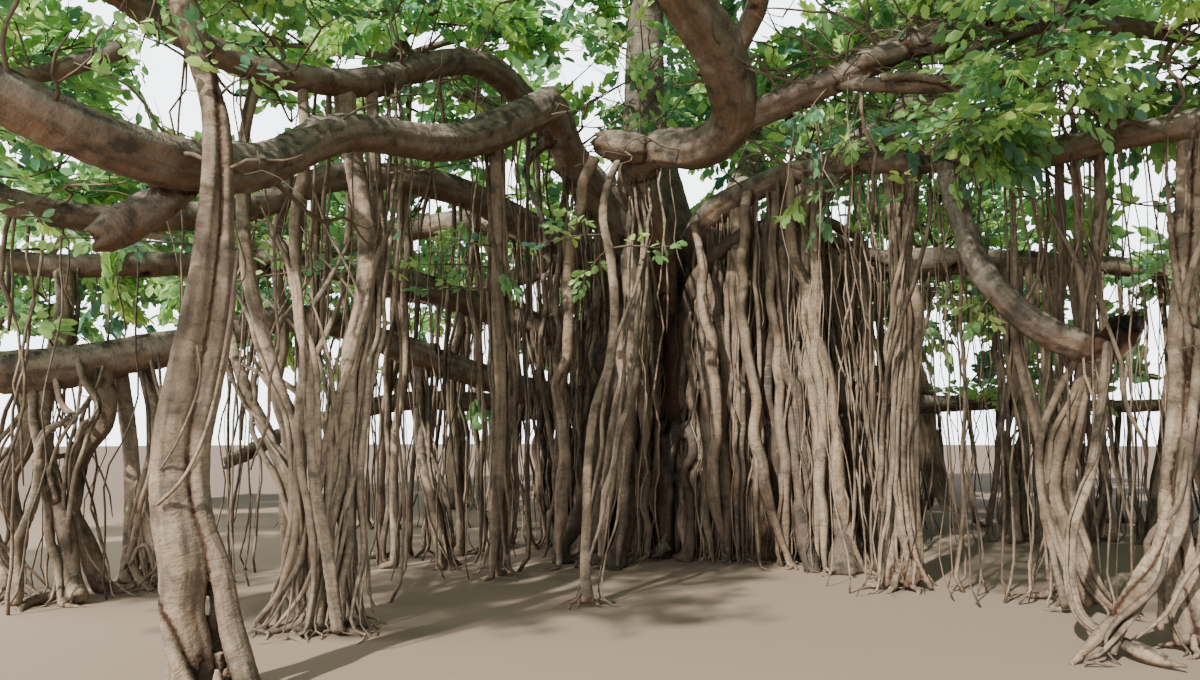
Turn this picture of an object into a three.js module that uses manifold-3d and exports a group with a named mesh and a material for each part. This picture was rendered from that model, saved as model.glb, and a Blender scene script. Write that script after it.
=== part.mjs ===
// A spreading banyan tree: a trunk of grown-together aerial roots, long low boughs, prop roots
// that have reached the ground, and masses of leaves at the ends of the boughs.
// Lengths are in millimetres, with +Z up. The origin is the centre of the flat cut under the trunk.
// A place on the tree is told as on a plan: how far out from the trunk's axis it is (reach, metres),
// in which direction (azimuth, degrees from +X towards +Y) and how high above the ground (metres).
import * as THREE from "three";
import { mergeVertices } from "three/addons/utils/BufferGeometryUtils.js";
import Module from "manifold-3d";

const wasm = await Module();
wasm.setup();

// Driving sizes, in metres.
const HEART_RADIUS = 1.42; // the grown-together heart of the trunk, at breast height
const HEART_ROOTS = 10; // roots that show as ridges round the heart
const RIDGE = 0.11; // how far each ridge stands out, as a share of the heart's radius
const FORK_HEIGHT = 4.3; // where the heart ends among the boughs
const CURTAIN_ROOT = 0.19; // radius of a thick root in the curtain round the heart
const LEAF_SPRAY = 2.6; // length of one blade, which stands for a whole spray of leaves
const LEAF_WIDTH = 0.56; // its width, as a share of its length
const LEAF_THICKNESS = 0.013; // half its thickness, as a share of its length
const LEAF_BELLY = 0.42; // where it is widest, as a share of its length
const LEAF_PLACES = [1, 0.93, 0.6]; // where a twig's blades leave it, as shares of its length
const LEAF_SINK = 0.012; // how far its root goes past the middle of its twig
const LEAF_ROLL = 2.2; // how far blades turn about their own length, in radians
const LEAF_ATTEMPTS = 6; // directions tried for one blade before it is left out
const TWIGS = 5; // twigs of one mass
const TWIG_REACH = 0.64; // how far out they go, as a share of the mass's size
const TWIG_RADIUS = 0.05;
const SPACE_MARGIN = 0.04; // how far a mass stays inside its own space, as a share of its size
const LIMB_CLEARANCE = 0.06; // how far leaves and twigs stay from the limbs

// Clearances between touching solids, in millimetres.
const SEAM = 0.5; // between a limb and what it was cut to fit
const STEM_SEAM = 0.3; // between a bough's tip and the stem that goes on from it
const BOUGH_STEP = 1350; // length of one straight facet along a bough
const SLIVER = 12; // detail smaller than this is dropped where limbs are fused
const LEAF_SLIVER = 8; // and where leaves are fused to twigs

const METRE = 1000;
const UP = new THREE.Vector3(0, 0, 1);
const GOLDEN_ANGLE = Math.PI * (3 - Math.sqrt(5));
const BARK = { color: 0x8a7a68, roughness: 0.9, metalness: 0 };
const ROOT_BARK = { color: 0x9a8570, roughness: 0.88, metalness: 0 };
const LEAF_GREEN = { color: 0x4f8a34, roughness: 0.55, metalness: 0 };

// A repeatable source of numbers from 0 to 1.
function seeded(seed) {
  let state = seed >>> 0;
  return () => {
    state = (state + 0x6d2b79f5) >>> 0;
    let t = Math.imul(state ^ (state >>> 15), 1 | state);
    t = (t + Math.imul(t ^ (t >>> 7), 61 | t)) ^ t;
    return ((t ^ (t >>> 14)) >>> 0) / 4294967296;
  };
}

// The value at t, from 0 to 1, in a short list of values that are spread evenly over that range.
function spread(list, t) {
  const place = t * (list.length - 1);
  const low = Math.min(Math.floor(place), list.length - 2);
  return THREE.MathUtils.lerp(list[low], list[low + 1], place - low);
}

function planPoint(reach, azimuth, height) {
  const angle = THREE.MathUtils.degToRad(azimuth);
  return new THREE.Vector3(reach * Math.cos(angle), reach * Math.sin(angle), height).multiplyScalar(METRE);
}

// The line that a bough follows, from short lists of reach, azimuth and height.
function boughLine({ reach, azimuth, height }) {
  const count = Math.max(reach.length, azimuth.length, height.length);
  const stations = [];
  for (let i = 0; i < count; i++) {
    const t = i / (count - 1);
    stations.push(planPoint(spread(reach, t), spread(azimuth, t), spread(height, t)));
  }
  return new THREE.CatmullRomCurve3(stations, false, "centripetal");
}

function unevenRound(angle, t) {
  return 1 + 0.07 * Math.sin(2 * angle + 5 * t) + 0.05 * Math.sin(angle - 9 * t);
}

// One tapering limb with flat ends: rings of points swept along a line, each with its outline.
function limbGeometry(line, radiusAt, steps, sides, phase = 0, outline = unevenRound) {
  const frames = line.computeFrenetFrames(steps, false);
  const positions = [];
  for (let i = 0; i <= steps; i++) {
    const t = i / steps;
    const centre = line.getPointAt(t);
    for (let j = 0; j < sides; j++) {
      const angle = (j / sides) * 2 * Math.PI + phase;
      const radius = radiusAt(t) * METRE * outline(angle, t);
      centre.clone().addScaledVector(frames.normals[i], radius * Math.cos(angle))
        .addScaledVector(frames.binormals[i], radius * Math.sin(angle))
        .toArray(positions, positions.length);
    }
  }
  const index = [];
  for (let i = 0; i < steps; i++) {
    for (let j = 0; j < sides; j++) {
      const a = i * sides + j;
      const b = i * sides + ((j + 1) % sides);
      index.push(a, b, b + sides, a, b + sides, a + sides);
    }
  }
  const last = steps * sides;
  for (let j = 1; j < sides - 1; j++) {
    index.push(0, j + 1, j, last, last + j, last + j + 1);
  }
  const geometry = new THREE.BufferGeometry();
  geometry.setAttribute("position", new THREE.Float32BufferAttribute(positions, 3));
  geometry.setIndex(index);
  return geometry;
}

// Solids are joined and cut as closed meshes.
function solidOf(geometry) {
  const bare = geometry.clone();
  bare.deleteAttribute("normal");
  bare.deleteAttribute("uv");
  const merged = mergeVertices(bare, 1e-3);
  return new wasm.Manifold(new wasm.Mesh({
    numProp: 3,
    vertProperties: merged.attributes.position.array,
    triVerts: new Uint32Array(merged.index.array),
  }));
}

function geometryOf(solid) {
  const mesh = solid.getMesh();
  const geometry = new THREE.BufferGeometry();
  geometry.setAttribute("position", new THREE.BufferAttribute(new Float32Array(mesh.vertProperties), 3));
  geometry.setIndex(new THREE.BufferAttribute(new Uint32Array(mesh.triVerts), 1));
  return geometry;
}

function largestPiece(solid) {
  return solid.decompose().sort((a, b) => b.volume() - a.volume())[0];
}

// Solids joined into one, with the slivers along their seams smoothed away.
function fused(parts, sliver = SLIVER) {
  return parts.reduce((whole, next) => whole.add(next)).simplify(sliver);
}

function aboveGround(solid) {
  return solid.trimByPlane([0, 0, 1], 0);
}

const limbs = []; // short lengths of every limb, which leaves and twigs keep clear of
const solids = new Map(); // each finished solid by its name
const tree = new THREE.Group();

function keep(name, solid, look, line = null) {
  solids.set(name, { solid, line });
  const mesh = new THREE.Mesh(geometryOf(solid).toNonIndexed(), new THREE.MeshStandardMaterial(look));
  mesh.geometry.computeVertexNormals();
  mesh.name = name;
  tree.add(mesh);
}

function remember(line, radiusAt) {
  const lengths = 14;
  for (let i = 0; i < lengths; i++) {
    const axis = new THREE.Line3(line.getPointAt(i / lengths), line.getPointAt((i + 1) / lengths));
    limbs.push({ axis, radius: 1.15 * METRE * Math.max(radiusAt(i / lengths), radiusAt((i + 1) / lengths)) });
  }
}

// A limb's solid cut back from every finished solid that it meets. The neighbour is taken away
// at its own place and at four places round it, which leaves a seam between the two.
function cutToFit(solid) {
  let rest = solid;
  for (const { solid: neighbour } of solids.values()) {
    if (rest.intersect(neighbour).isEmpty()) continue;
    for (const corner of [[0, 0, 0], [1, 1, 1], [1, -1, -1], [-1, 1, -1], [-1, -1, 1]]) {
      rest = rest.subtract(neighbour.translate(corner.map((side) => side * SEAM)));
    }
    rest = largestPiece(rest);
  }
  return rest;
}

// The curtain: thick roots that leave the heart under the fork and spread to the ground. Two
// wings of them stand far out in front, with a dark recess between. shoulder is how far out a
// root already is where it leaves the heart's side, and reach is how far out its foot is.
const CURTAIN = [
  { azimuth: 227, shoulder: 2.15, reach: 2.7 }, { azimuth: 238, shoulder: 1.9, reach: 3.3 },
  { azimuth: 250, shoulder: 1.5, reach: 2.5 }, { azimuth: 275, shoulder: 1.5, reach: 2.4 },
  { azimuth: 287, shoulder: 1.75, reach: 3.5 }, { azimuth: 302, shoulder: 2.0, reach: 3.0 },
  { azimuth: 330, shoulder: 1.7, reach: 2.4 }, { azimuth: 8, shoulder: 1.5, reach: 2.3 },
  { azimuth: 55, shoulder: 1.5, reach: 2.3 }, { azimuth: 104, shoulder: 1.5, reach: 2.3 },
  { azimuth: 150, shoulder: 1.5, reach: 2.3 }, { azimuth: 192, shoulder: 1.6, reach: 2.4 },
];

// The trunk: a ridged heart that flares at the ground, with the curtain's roots fused to it.
function trunk() {
  const heartLine = new THREE.LineCurve3(planPoint(0, 0, 0), planPoint(0, 0, FORK_HEIGHT));
  const heartGirth = (t) => HEART_RADIUS * spread([1.26, 1.04, 1, 0.98, 0.9], t);
  const ridges = (angle, t) => 1 + RIDGE * Math.cos(HEART_ROOTS * angle + 2.5 * t);
  const parts = [solidOf(limbGeometry(heartLine, heartGirth, 4, 3 * HEART_ROOTS, 0, ridges))];
  remember(heartLine, heartGirth);
  const random = seeded(11);
  for (const { azimuth, shoulder, reach } of CURTAIN) {
    const girth = CURTAIN_ROOT * (0.85 + 0.35 * random());
    const line = boughLine({
      reach: [0.78 * HEART_RADIUS, shoulder, 0.5 * (shoulder + reach), reach],
      azimuth: [azimuth + 8 * (random() - 0.5), azimuth, azimuth + 6 * (random() - 0.5), azimuth],
      height: [FORK_HEIGHT - 0.3, 3.2, 1.7, -0.12],
    });
    const radiusAt = (t) => girth * spread([1, 0.95, 1, 1.2, 1.7], t);
    parts.push(solidOf(limbGeometry(line, radiusAt, 4, 5, azimuth)));
    remember(line, radiusAt);
  }
  keep("trunk", largestPiece(aboveGround(fused(parts))), BARK);
}

// Boughs, each after those that it grows out of. Radii run from root to tip, in metres. A stub is
// a short side limb with a sawn or broken end.
const BOUGHS = [
  { name: "leader_left", radius: [0.36, 0.25, 0.22],
    reach: [0.9, 1.9, 2.9, 3.6], azimuth: [222, 225, 227, 231], height: [3.1, 4.1, 4.95, 5.5] },
  { name: "bough_front_left", radius: [0.22, 0.185, 0.17, 0.19, 0.16],
    reach: [3.55, 5.4, 6.9, 8.3, 9.4, 10.3], azimuth: [231, 234, 236, 239, 240, 238],
    height: [5.5, 4.5, 4.15, 3.4, 3.3, 3.65],
    stub: { radius: [0.12, 0.085], reach: [8.55, 9.15], azimuth: [239.5, 238], height: [3.3, 2.75] } },
  { name: "bough_upper_left", radius: [0.3, 0.2, 0.17, 0.14, 0.11],
    reach: [0.8, 2.9, 4.25, 6.4, 7.6, 8.9], azimuth: [200, 213, 223, 229, 229, 227],
    height: [3.9, 5.7, 5.95, 4.95, 4.85, 5.4] },
  { name: "bough_left_high", radius: [0.27, 0.19, 0.15, 0.11],
    reach: [0.9, 2.8, 4.25, 5.7, 6.9, 8.9, 9.8], azimuth: [203, 207, 214, 217, 218, 221, 222],
    height: [3.6, 4.25, 4.55, 4.4, 3.8, 3.5, 4.1] },
  { name: "bough_left_mid", radius: [0.24, 0.18, 0.15, 0.11],
    reach: [0.9, 2.7, 4.3, 5.8, 7.4, 8.9, 9.8], azimuth: [196, 203, 207, 209, 210, 209, 206],
    height: [2.8, 2.95, 3.35, 3.5, 3.35, 3.3, 3.9] },
  { name: "bough_left_low", radius: [0.22, 0.175, 0.15, 0.2, 0.13],
    reach: [0.9, 2.6, 4.3, 6.0, 7.3, 8.5, 9.4, 10.9], azimuth: [192, 203, 211, 213, 213, 213, 213, 212],
    height: [1.95, 2.03, 2.4, 2.8, 2.42, 2.15, 2.1, 2.75] },
  { name: "limb_left_dead", radius: [0.2, 0.15, 0.1],
    reach: [0.9, 2.4, 4.3, 5.6, 6.7], azimuth: [182, 189, 196, 198, 199],
    height: [1.8, 1.83, 1.95, 1.65, 1.1] },
  { name: "bough_front", radius: [0.3, 0.23, 0.23, 0.27, 0.22],
    reach: [0.8, 2.0, 2.75, 3.2, 3.6, 4.0, 4.5, 5.1, 5.6],
    azimuth: [236, 242, 244, 252, 262, 267, 265, 260, 257],
    height: [3.4, 4.25, 4.68, 4.85, 4.72, 4.9, 5.35, 5.85, 6.5],
    stub: { radius: [0.2, 0.18], reach: [3.2, 3.62], azimuth: [252, 242], height: [4.85, 4.88] } },
  { name: "bough_front_rise", radius: [0.13, 0.1, 0.1],
    reach: [4.35, 4.7, 5.4, 6.6, 8.0], azimuth: [265.5, 269, 270, 272, 273],
    height: [5.3, 5.75, 6.2, 6.5, 6.7] },
  { name: "bough_front_right", radius: [0.17, 0.14, 0.11],
    reach: [3.95, 4.25, 4.65, 5.2, 5.7], azimuth: [267, 275, 280, 285, 289],
    height: [4.85, 5.03, 5.12, 5.25, 5.3],
    stub: { radius: [0.09, 0.065], reach: [4.6, 5.2, 6.0], azimuth: [279, 284, 290],
      height: [5.05, 4.85, 4.66] } },
  { name: "bough_right_front", radius: [0.26, 0.16, 0.125, 0.12, 0.1],
    reach: [0.8, 1.9, 2.5, 3.2, 4.4, 5.6, 6.6, 7.9], azimuth: [248, 262, 276, 285, 292, 294, 295, 301],
    height: [3.5, 4.25, 4.52, 4.62, 4.4, 4.12, 4.02, 4.1] },
  { name: "limb_broken", radius: [0.1, 0.11, 0.13, 0.14],
    reach: [4.95, 5.3, 5.65, 5.95, 6.2, 6.35, 6.42], azimuth: [291.5, 289.5, 289, 291, 294, 296, 297],
    height: [4.2, 3.6, 2.95, 2.5, 2.27, 2.3, 2.52] },
  { name: "bough_right_low", radius: [0.2, 0.13, 0.11],
    reach: [0.9, 3.3, 5.8, 8.3, 10.2], azimuth: [8, 15, 18, 14, 9], height: [1.85, 1.95, 2.02, 2.0, 2.7] },
  { name: "bough_right_mid", radius: [0.26, 0.16, 0.12],
    reach: [0.9, 2.8, 5.6, 7.4, 9.2], azimuth: [330, 346, 353, 348, 341], height: [3.6, 3.92, 3.9, 3.6, 4.1] },
  { name: "bough_back_right", radius: [0.3, 0.2, 0.13],
    reach: [0.8, 3.6, 6.4, 8.8], azimuth: [40, 46, 47, 49], height: [3.5, 4.5, 4.1, 4.6] },
  { name: "bough_back", radius: [0.32, 0.2, 0.14],
    reach: [0.8, 3.6, 6.6, 9.0], azimuth: [84, 92, 90, 88], height: [3.6, 4.7, 4.2, 4.6] },
  { name: "bough_back_left", radius: [0.3, 0.2, 0.13],
    reach: [0.8, 3.6, 6.6, 9.0], azimuth: [132, 128, 134, 136], height: [3.5, 4.6, 4.2, 4.6] },
  { name: "bough_left", radius: [0.28, 0.19, 0.12],
    reach: [0.8, 3.6, 6.6, 9.2], azimuth: [168, 164, 170, 172], height: [3.7, 4.9, 4.5, 4.8] },
  { name: "leader_top", radius: [0.5, 0.34, 0.24],
    reach: [0.6, 0.95, 0.9], azimuth: [190, 178, 172], height: [3.9, 6.4, 8.7] },
  { name: "leader_right", radius: [0.34, 0.22, 0.16],
    reach: [0.7, 1.9, 3.3, 4.3], azimuth: [350, 335, 338, 340], height: [3.9, 5.3, 6.3, 7.2] },
  { name: "leader_back", radius: [0.34, 0.24, 0.17],
    reach: [0.7, 1.8, 3.2, 4.2], azimuth: [62, 66, 68, 70], height: [3.9, 5.5, 6.6, 7.4] },
  { name: "leader_left_back", radius: [0.34, 0.24, 0.17],
    reach: [0.9, 2.0, 3.4, 4.5], azimuth: [140, 148, 155, 158], height: [3.9, 5.5, 6.6, 7.5] },
];

function bough({ name, radius, stub, ...course }) {
  const line = boughLine(course);
  const radiusAt = (t) => spread(radius, t);
  const steps = Math.max(5, Math.round(line.getLength() / BOUGH_STEP));
  const parts = [solidOf(limbGeometry(line, radiusAt, steps, 6, name.length))];
  remember(line, radiusAt);
  if (stub) {
    const stubLine = boughLine(stub);
    const stubRadiusAt = (t) => spread(stub.radius, t);
    parts.push(solidOf(limbGeometry(stubLine, stubRadiusAt, 3, 6)));
    remember(stubLine, stubRadiusAt);
  }
  keep(name, cutToFit(fused(parts)), BARK, line);
}

// Prop roots. Each stands under a bough, at a share of that bough's length, and is one to three
// strands that part at the ground. foot is the place on the ground, bow is how far it swings to
// one side, and turn is the azimuth of its first strand where that matters.
const PROPS = [
  { name: "prop_front_left", foot: [-3.86, -8.08],
    strands: 2, radius: 0.115, splay: 0.17, bow: [-0.12, 0.16], head: [-4.12, -7.7, 4.2], turn: 0 },
  { name: "prop_middle_left", under: "bough_upper_left", at: 0.66, foot: [-3.85, -6.2],
    strands: 3, radius: 0.11, splay: 0.34, bow: [0.1, -0.1] },
  { name: "prop_far_left_inner", under: "bough_left_low", at: 0.715, foot: [-6.45, -4.9],
    strands: 2, radius: 0.14, splay: 0.17, bow: [-0.06, -0.05], turn: 0 },
  { name: "prop_far_left_elbow", under: "bough_left_low", at: 0.765, foot: [-7.03, -5.0],
    strands: 2, radius: 0.095, splay: 0.12, bow: [-0.3, 0] },
  { name: "prop_far_left_right", under: "bough_left_low", at: 0.655, foot: [-6.12, -4.3],
    strands: 2, radius: 0.12, splay: 0.17, bow: [0.12, 0], turn: 0 },
  { name: "prop_left_thin", under: "bough_left_low", at: 0.36, foot: [-3.38, -3.0],
    strands: 2, radius: 0.075, splay: 0.12, bow: [-0.08, 0] },
  { name: "prop_left_tall", under: "bough_front_left", at: 0.17, foot: [-2.75, -3.7],
    strands: 2, radius: 0.075, splay: 0.13, bow: [0.05, 0.1] },
  { name: "prop_front_slender", under: "bough_front", at: 0.36, foot: [-1.72, -5.2],
    strands: 1, radius: 0.075, splay: 0, bow: [0.06, -0.5] },
  { name: "prop_right", under: "bough_right_front", at: 0.56, foot: [1.28, -4.42],
    strands: 2, radius: 0.12, splay: 0.22, bow: [0.02, 0.04], turn: 0 },
  { name: "prop_right_cluster", under: "bough_right_front", at: 0.73, foot: [2.62, -5.0],
    strands: 3, radius: 0.095, splay: 0.26, bow: [0.14, 0.1] },
  { name: "prop_right_edge", under: "bough_right_front", at: 0.9, foot: [2.5, -6.95],
    strands: 2, radius: 0.115, splay: 0.36, bow: [0.1, 0], turn: 10 },
  { name: "prop_back_right_low", under: "bough_right_low", at: 0.55, foot: [5.6, 2.3],
    strands: 2, radius: 0.1, splay: 0.18, bow: [-0.25, 0] },
  { name: "prop_right_far", under: "bough_right_mid", at: 0.66, foot: [5.9, -0.9],
    strands: 2, radius: 0.12, splay: 0.22, bow: [0.1, 0.1] },
  { name: "prop_back_right", under: "bough_back_right", at: 0.68, foot: [4.9, 4.3],
    strands: 2, radius: 0.13, splay: 0.24, bow: [0.1, -0.1] },
  { name: "prop_back", under: "bough_back", at: 0.68, foot: [-0.2, 6.5],
    strands: 2, radius: 0.13, splay: 0.24, bow: [0.12, 0.1] },
  { name: "prop_back_left", under: "bough_back_left", at: 0.68, foot: [-4.5, 4.8],
    strands: 2, radius: 0.13, splay: 0.24, bow: [-0.1, 0.1] },
];

// The line of one strand: from the bough to the ground, beside its fellows. They grow together
// near the top and again below the middle, and part between and at the feet.
const STRAND_APART = [0.55, 0.5, 0.95, 0.6, 0.7, 0];

function strandLine(top, base, outward, { radius, splay, bow }) {
  const last = STRAND_APART.length - 1;
  const stations = STRAND_APART.map((apart, i) => {
    const t = i / last;
    const point = top.clone().lerp(base, t);
    const swing = Math.sin(Math.PI * t) * METRE;
    point.x += bow[0] * swing;
    point.y += bow[1] * swing;
    return point.addScaledVector(outward, i === last ? splay * METRE : apart * radius * METRE);
  });
  return new THREE.CatmullRomCurve3(stations, false, "centripetal");
}

function propRoot(prop) {
  const { name, under, at, foot, strands, radius, head } = prop;
  const random = seeded(name.length * 97 + strands);
  const top = head
    ? new THREE.Vector3(...head).multiplyScalar(METRE)
    : solids.get(under).line.getPointAt(at);
  const base = new THREE.Vector3(foot[0], foot[1], -0.12).multiplyScalar(METRE);
  const turn = prop.turn ?? 360 * random();
  const parts = [];
  for (let i = 0; i < strands; i++) {
    const angle = THREE.MathUtils.degToRad(turn + (360 * i) / strands);
    const outward = new THREE.Vector3(Math.cos(angle), Math.sin(angle), 0);
    const line = strandLine(top, base, outward, prop);
    const girth = radius * (0.85 + 0.3 * random());
    const radiusAt = (t) => girth * spread([1.1, 0.95, 1, 1.05, 1.5], t);
    parts.push(solidOf(limbGeometry(line, radiusAt, 5, 5, angle)));
    remember(line, radiusAt);
  }
  keep(name, cutToFit(aboveGround(fused(parts))), ROOT_BARK);
}

// A root that ties the middle left bough to the low one, and the root under the broken limb,
// whose foot lies along the ground.
const TIES = [
  { name: "prop_between_boughs", radius: [0.1, 0.085, 0.11],
    reach: [8.35, 8.3, 8.35], azimuth: [209.5, 211.5, 212.5], height: [3.3, 2.8, 2.2] },
  { name: "prop_under_break", radius: [0.06, 0.058, 0.055, 0.06, 0.05],
    reach: [6.33, 6.45, 6.6, 6.75, 6.95, 7.5], azimuth: [295.5, 293, 290, 286.5, 285.5, 286.5],
    height: [2.3, 1.8, 1.25, 0.7, 0.2, 0.035] },
];

function tie({ name, radius, ...course }) {
  const line = boughLine(course);
  const radiusAt = (t) => spread(radius, t);
  const solid = aboveGround(solidOf(limbGeometry(line, radiusAt, 9, 6)));
  remember(line, radiusAt);
  keep(name, cutToFit(solid), ROOT_BARK, line);
}

// Masses of leaves. Each goes on from a bough's tip and fills its own space: an ellipsoid whose
// centre is a reach, an azimuth and a height, with its spread to the sides and its depth.
const MASSES = [
  { mass: "front_left", bough: "bough_front_left", centre: [11.0, 237, 5.5], spread: 3.4, depth: 2.3 },
  { mass: "left_front", bough: "bough_left_high", centre: [11.4, 221, 5.6], spread: 3.2, depth: 2.2 },
  { mass: "left_mid", bough: "bough_left_mid", centre: [10.9, 203, 5.6], spread: 3.4, depth: 2.6 },
  { mass: "left_low", bough: "bough_left_low", centre: [12.6, 211, 3.9], spread: 2.3, depth: 1.5 },
  { mass: "upper_left", bough: "bough_upper_left", centre: [8.2, 222, 7.7], spread: 3.7, depth: 2.3 },
  { mass: "left", bough: "bough_left", centre: [11.2, 174, 5.2], spread: 4.1, depth: 2.8 },
  { mass: "back_left", bough: "bough_back_left", centre: [10.9, 135, 5.4], spread: 4.3, depth: 3.0 },
  { mass: "back", bough: "bough_back", centre: [11.0, 93, 5.4], spread: 4.3, depth: 3.0 },
  { mass: "back_right", bough: "bough_back_right", centre: [11.0, 50, 5.4], spread: 4.3, depth: 3.0 },
  { mass: "right", bough: "bough_right_low", centre: [11.6, 9, 4.7], spread: 4.0, depth: 2.6 },
  { mass: "right_front", bough: "bough_right_mid", centre: [11.2, 337, 5.2], spread: 4.0, depth: 2.8 },
  { mass: "front_right", bough: "bough_right_front", centre: [10.6, 309, 5.2], spread: 4.0, depth: 2.5 },
  { mass: "front_low", bough: "bough_front_right", centre: [7.1, 292, 4.9], spread: 2.5, depth: 1.5 },
  { mass: "front", bough: "bough_front_rise", centre: [9.9, 275, 7.2], spread: 4.0, depth: 1.9 },
  { mass: "inner_front", bough: "bough_front", centre: [5.6, 258, 8.5], spread: 3.8, depth: 2.2 },
  { mass: "inner_right", bough: "leader_right", centre: [6.0, 338, 8.2], spread: 4.2, depth: 2.4 },
  { mass: "inner_back", bough: "leader_back", centre: [6.0, 66, 8.5], spread: 4.2, depth: 2.5 },
  { mass: "inner_left", bough: "leader_left_back", centre: [6.0, 160, 8.6], spread: 4.2, depth: 2.5 },
  { mass: "top", bough: "leader_top", centre: [0.4, 180, 10.3], spread: 4.4, depth: 2.3 },
];

const spaces = MASSES.map(({ centre, spread: side, depth }) => ({
  centre: planPoint(...centre),
  size: new THREE.Vector3(side, side, depth).multiplyScalar(METRE),
}));

// How far a point is from a space's centre, where 1 is the space's edge.
function depthIn(space, point) {
  return point.clone().sub(space.centre).divide(space.size).length();
}

// True where a point is inside its mass's space, nearer to it than to any other, and off the limbs.
function free(space, point) {
  const own = depthIn(space, point);
  if (own > 1) return false;
  if (spaces.some((other) => other !== space && depthIn(other, point) < own + SPACE_MARGIN)) return false;
  return limbs.every(({ axis, radius }) => {
    const nearest = axis.closestPointToPoint(point, true, new THREE.Vector3());
    return nearest.distanceTo(point) > radius + LIMB_CLEARANCE * METRE;
  });
}

// One leaf blade: a thin lens from its root along its direction. probes are points all over it,
// for finding what it would run into.
function leafBlade(root, direction, length, roll) {
  const side = UP.clone().cross(direction).normalize().applyAxisAngle(direction, roll);
  const face = direction.clone().cross(side);
  const at = (along, across, out) => root.clone().addScaledVector(direction, length * along)
    .addScaledVector(side, length * LEAF_WIDTH * across).addScaledVector(face, length * LEAF_THICKNESS * out);
  const corners = [
    at(0, 0, 0), at(1, 0, 0), at(LEAF_BELLY, 0.5, 0), at(LEAF_BELLY, -0.5, 0),
    at(LEAF_BELLY, 0, 1), at(LEAF_BELLY, 0, -1),
  ];
  const probes = [at(1, 0, 0)];
  for (const along of [0.28, LEAF_BELLY, 0.62, 0.8]) {
    for (const across of [-1, 0, 1]) {
      const width = along < LEAF_BELLY ? along / LEAF_BELLY : (1 - along) / (1 - LEAF_BELLY);
      probes.push(at(along, 0.5 * across * width, 0));
    }
  }
  const geometry = new THREE.BufferGeometry();
  geometry.setAttribute("position", new THREE.Float32BufferAttribute(corners.flatMap((c) => c.toArray()), 3));
  geometry.setIndex([0, 4, 2, 0, 3, 4, 0, 5, 3, 0, 2, 5, 1, 2, 4, 1, 4, 3, 1, 3, 5, 1, 5, 2]);
  return { probes, solid: solidOf(geometry) };
}

// The stem of a mass: it goes on from the bough's tip and bends to the middle of the space.
function stemOf(space, boughTip) {
  const direction = boughTip.getTangentAt(1);
  const start = boughTip.getPointAt(1).addScaledVector(direction, STEM_SEAM);
  const hub = space.centre.clone().lerp(start, 0.12);
  hub.z -= 0.12 * space.size.z;
  const bend = start.clone().addScaledVector(direction, 0.3 * start.distanceTo(hub));
  return new THREE.CatmullRomCurve3([start, bend, hub], false, "centripetal");
}

// Twig number i of a mass: the golden angle turns each a little further round the space.
function twigOf(space, stemLine, number, i) {
  const height = 0.85 - (1.7 * (i + 0.5)) / TWIGS;
  const angle = i * GOLDEN_ANGLE + number;
  const flat = Math.sqrt(1 - height * height);
  const outward = new THREE.Vector3(flat * Math.cos(angle), flat * Math.sin(angle), height);
  const tip = space.centre.clone().add(outward.multiply(space.size).multiplyScalar(TWIG_REACH));
  const root = stemLine.getPointAt(0.55 + 0.43 * ((i * 0.618) % 1));
  const bend = root.clone().lerp(tip, 0.5);
  bend.z += 0.1 * space.size.z;
  return new THREE.QuadraticBezierCurve3(root, bend, tip);
}

// The blade at place k of a twig, or nothing where no direction that was tried is free.
function bladeOn(space, twigLine, k, blades, random) {
  for (let attempt = 0; attempt < LEAF_ATTEMPTS; attempt++) {
    const yaw = (k % 2 ? 1 : -1) * (0.55 + 0.25 * k + 0.5 * random());
    const direction = twigLine.getTangentAt(LEAF_PLACES[k]).applyAxisAngle(UP, yaw);
    direction.z += 0.5 * (random() - 0.5);
    direction.normalize();
    const root = twigLine.getPointAt(LEAF_PLACES[k]).addScaledVector(direction, -LEAF_SINK * METRE);
    const length = LEAF_SPRAY * METRE * (1.1 - 0.1 * attempt - 0.1 * random());
    const { probes, solid } = leafBlade(root, direction, length, LEAF_ROLL * (random() - 0.5));
    if (!probes.every((probe) => free(space, probe))) continue;
    if (blades.every((other) => other.intersect(solid).isEmpty())) return solid;
  }
  return null;
}

// A mass of leaves: a stem, twigs and blades. What would leave the space or touch a limb is skipped.
function leafMass({ mass, bough: boughName }, number) {
  const space = spaces[number];
  const random = seeded(500 + number);
  const stemLine = stemOf(space, solids.get(boughName).line);
  const stemRadius = (t) => spread([1.7, 1.4, 1.1], t) * TWIG_RADIUS;
  const twigRadius = (t) => (1 - 0.35 * t) * TWIG_RADIUS;
  const wood = [solidOf(limbGeometry(stemLine, stemRadius, 5, 4))];
  const blades = [];
  for (let i = 0; i < TWIGS; i++) {
    const twigLine = twigOf(space, stemLine, number, i);
    if (![0.45, 0.7, 1].every((t) => free(space, twigLine.getPointAt(t)))) continue;
    wood.push(solidOf(limbGeometry(twigLine, twigRadius, 2, 3, i * GOLDEN_ANGLE + number)));
    for (let k = 0; k < LEAF_PLACES.length; k++) {
      const blade = bladeOn(space, twigLine, k, blades, random);
      if (blade) blades.push(blade);
    }
  }
  keep(`leaves_${mass}`, largestPiece(fused([...wood, ...blades], LEAF_SLIVER)), LEAF_GREEN);
}

trunk();
BOUGHS.forEach(bough);
PROPS.forEach(propRoot);
TIES.forEach(tie);
MASSES.forEach(leafMass);

export default tree;
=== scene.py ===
# %% [markdown]
# # A spreading banyan, dressed with bark, roots, twigs and leaves
# A banyan lets down roots from its boughs. Those that reach the ground thicken into props, and
# those round the trunk grow together into one fluted mass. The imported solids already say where
# every limb is, so this lesson only has to grow bark, fine roots and leaves round the same lines.

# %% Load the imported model
import math
import bpy
import numpy as np
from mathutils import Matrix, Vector, kdtree


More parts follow.
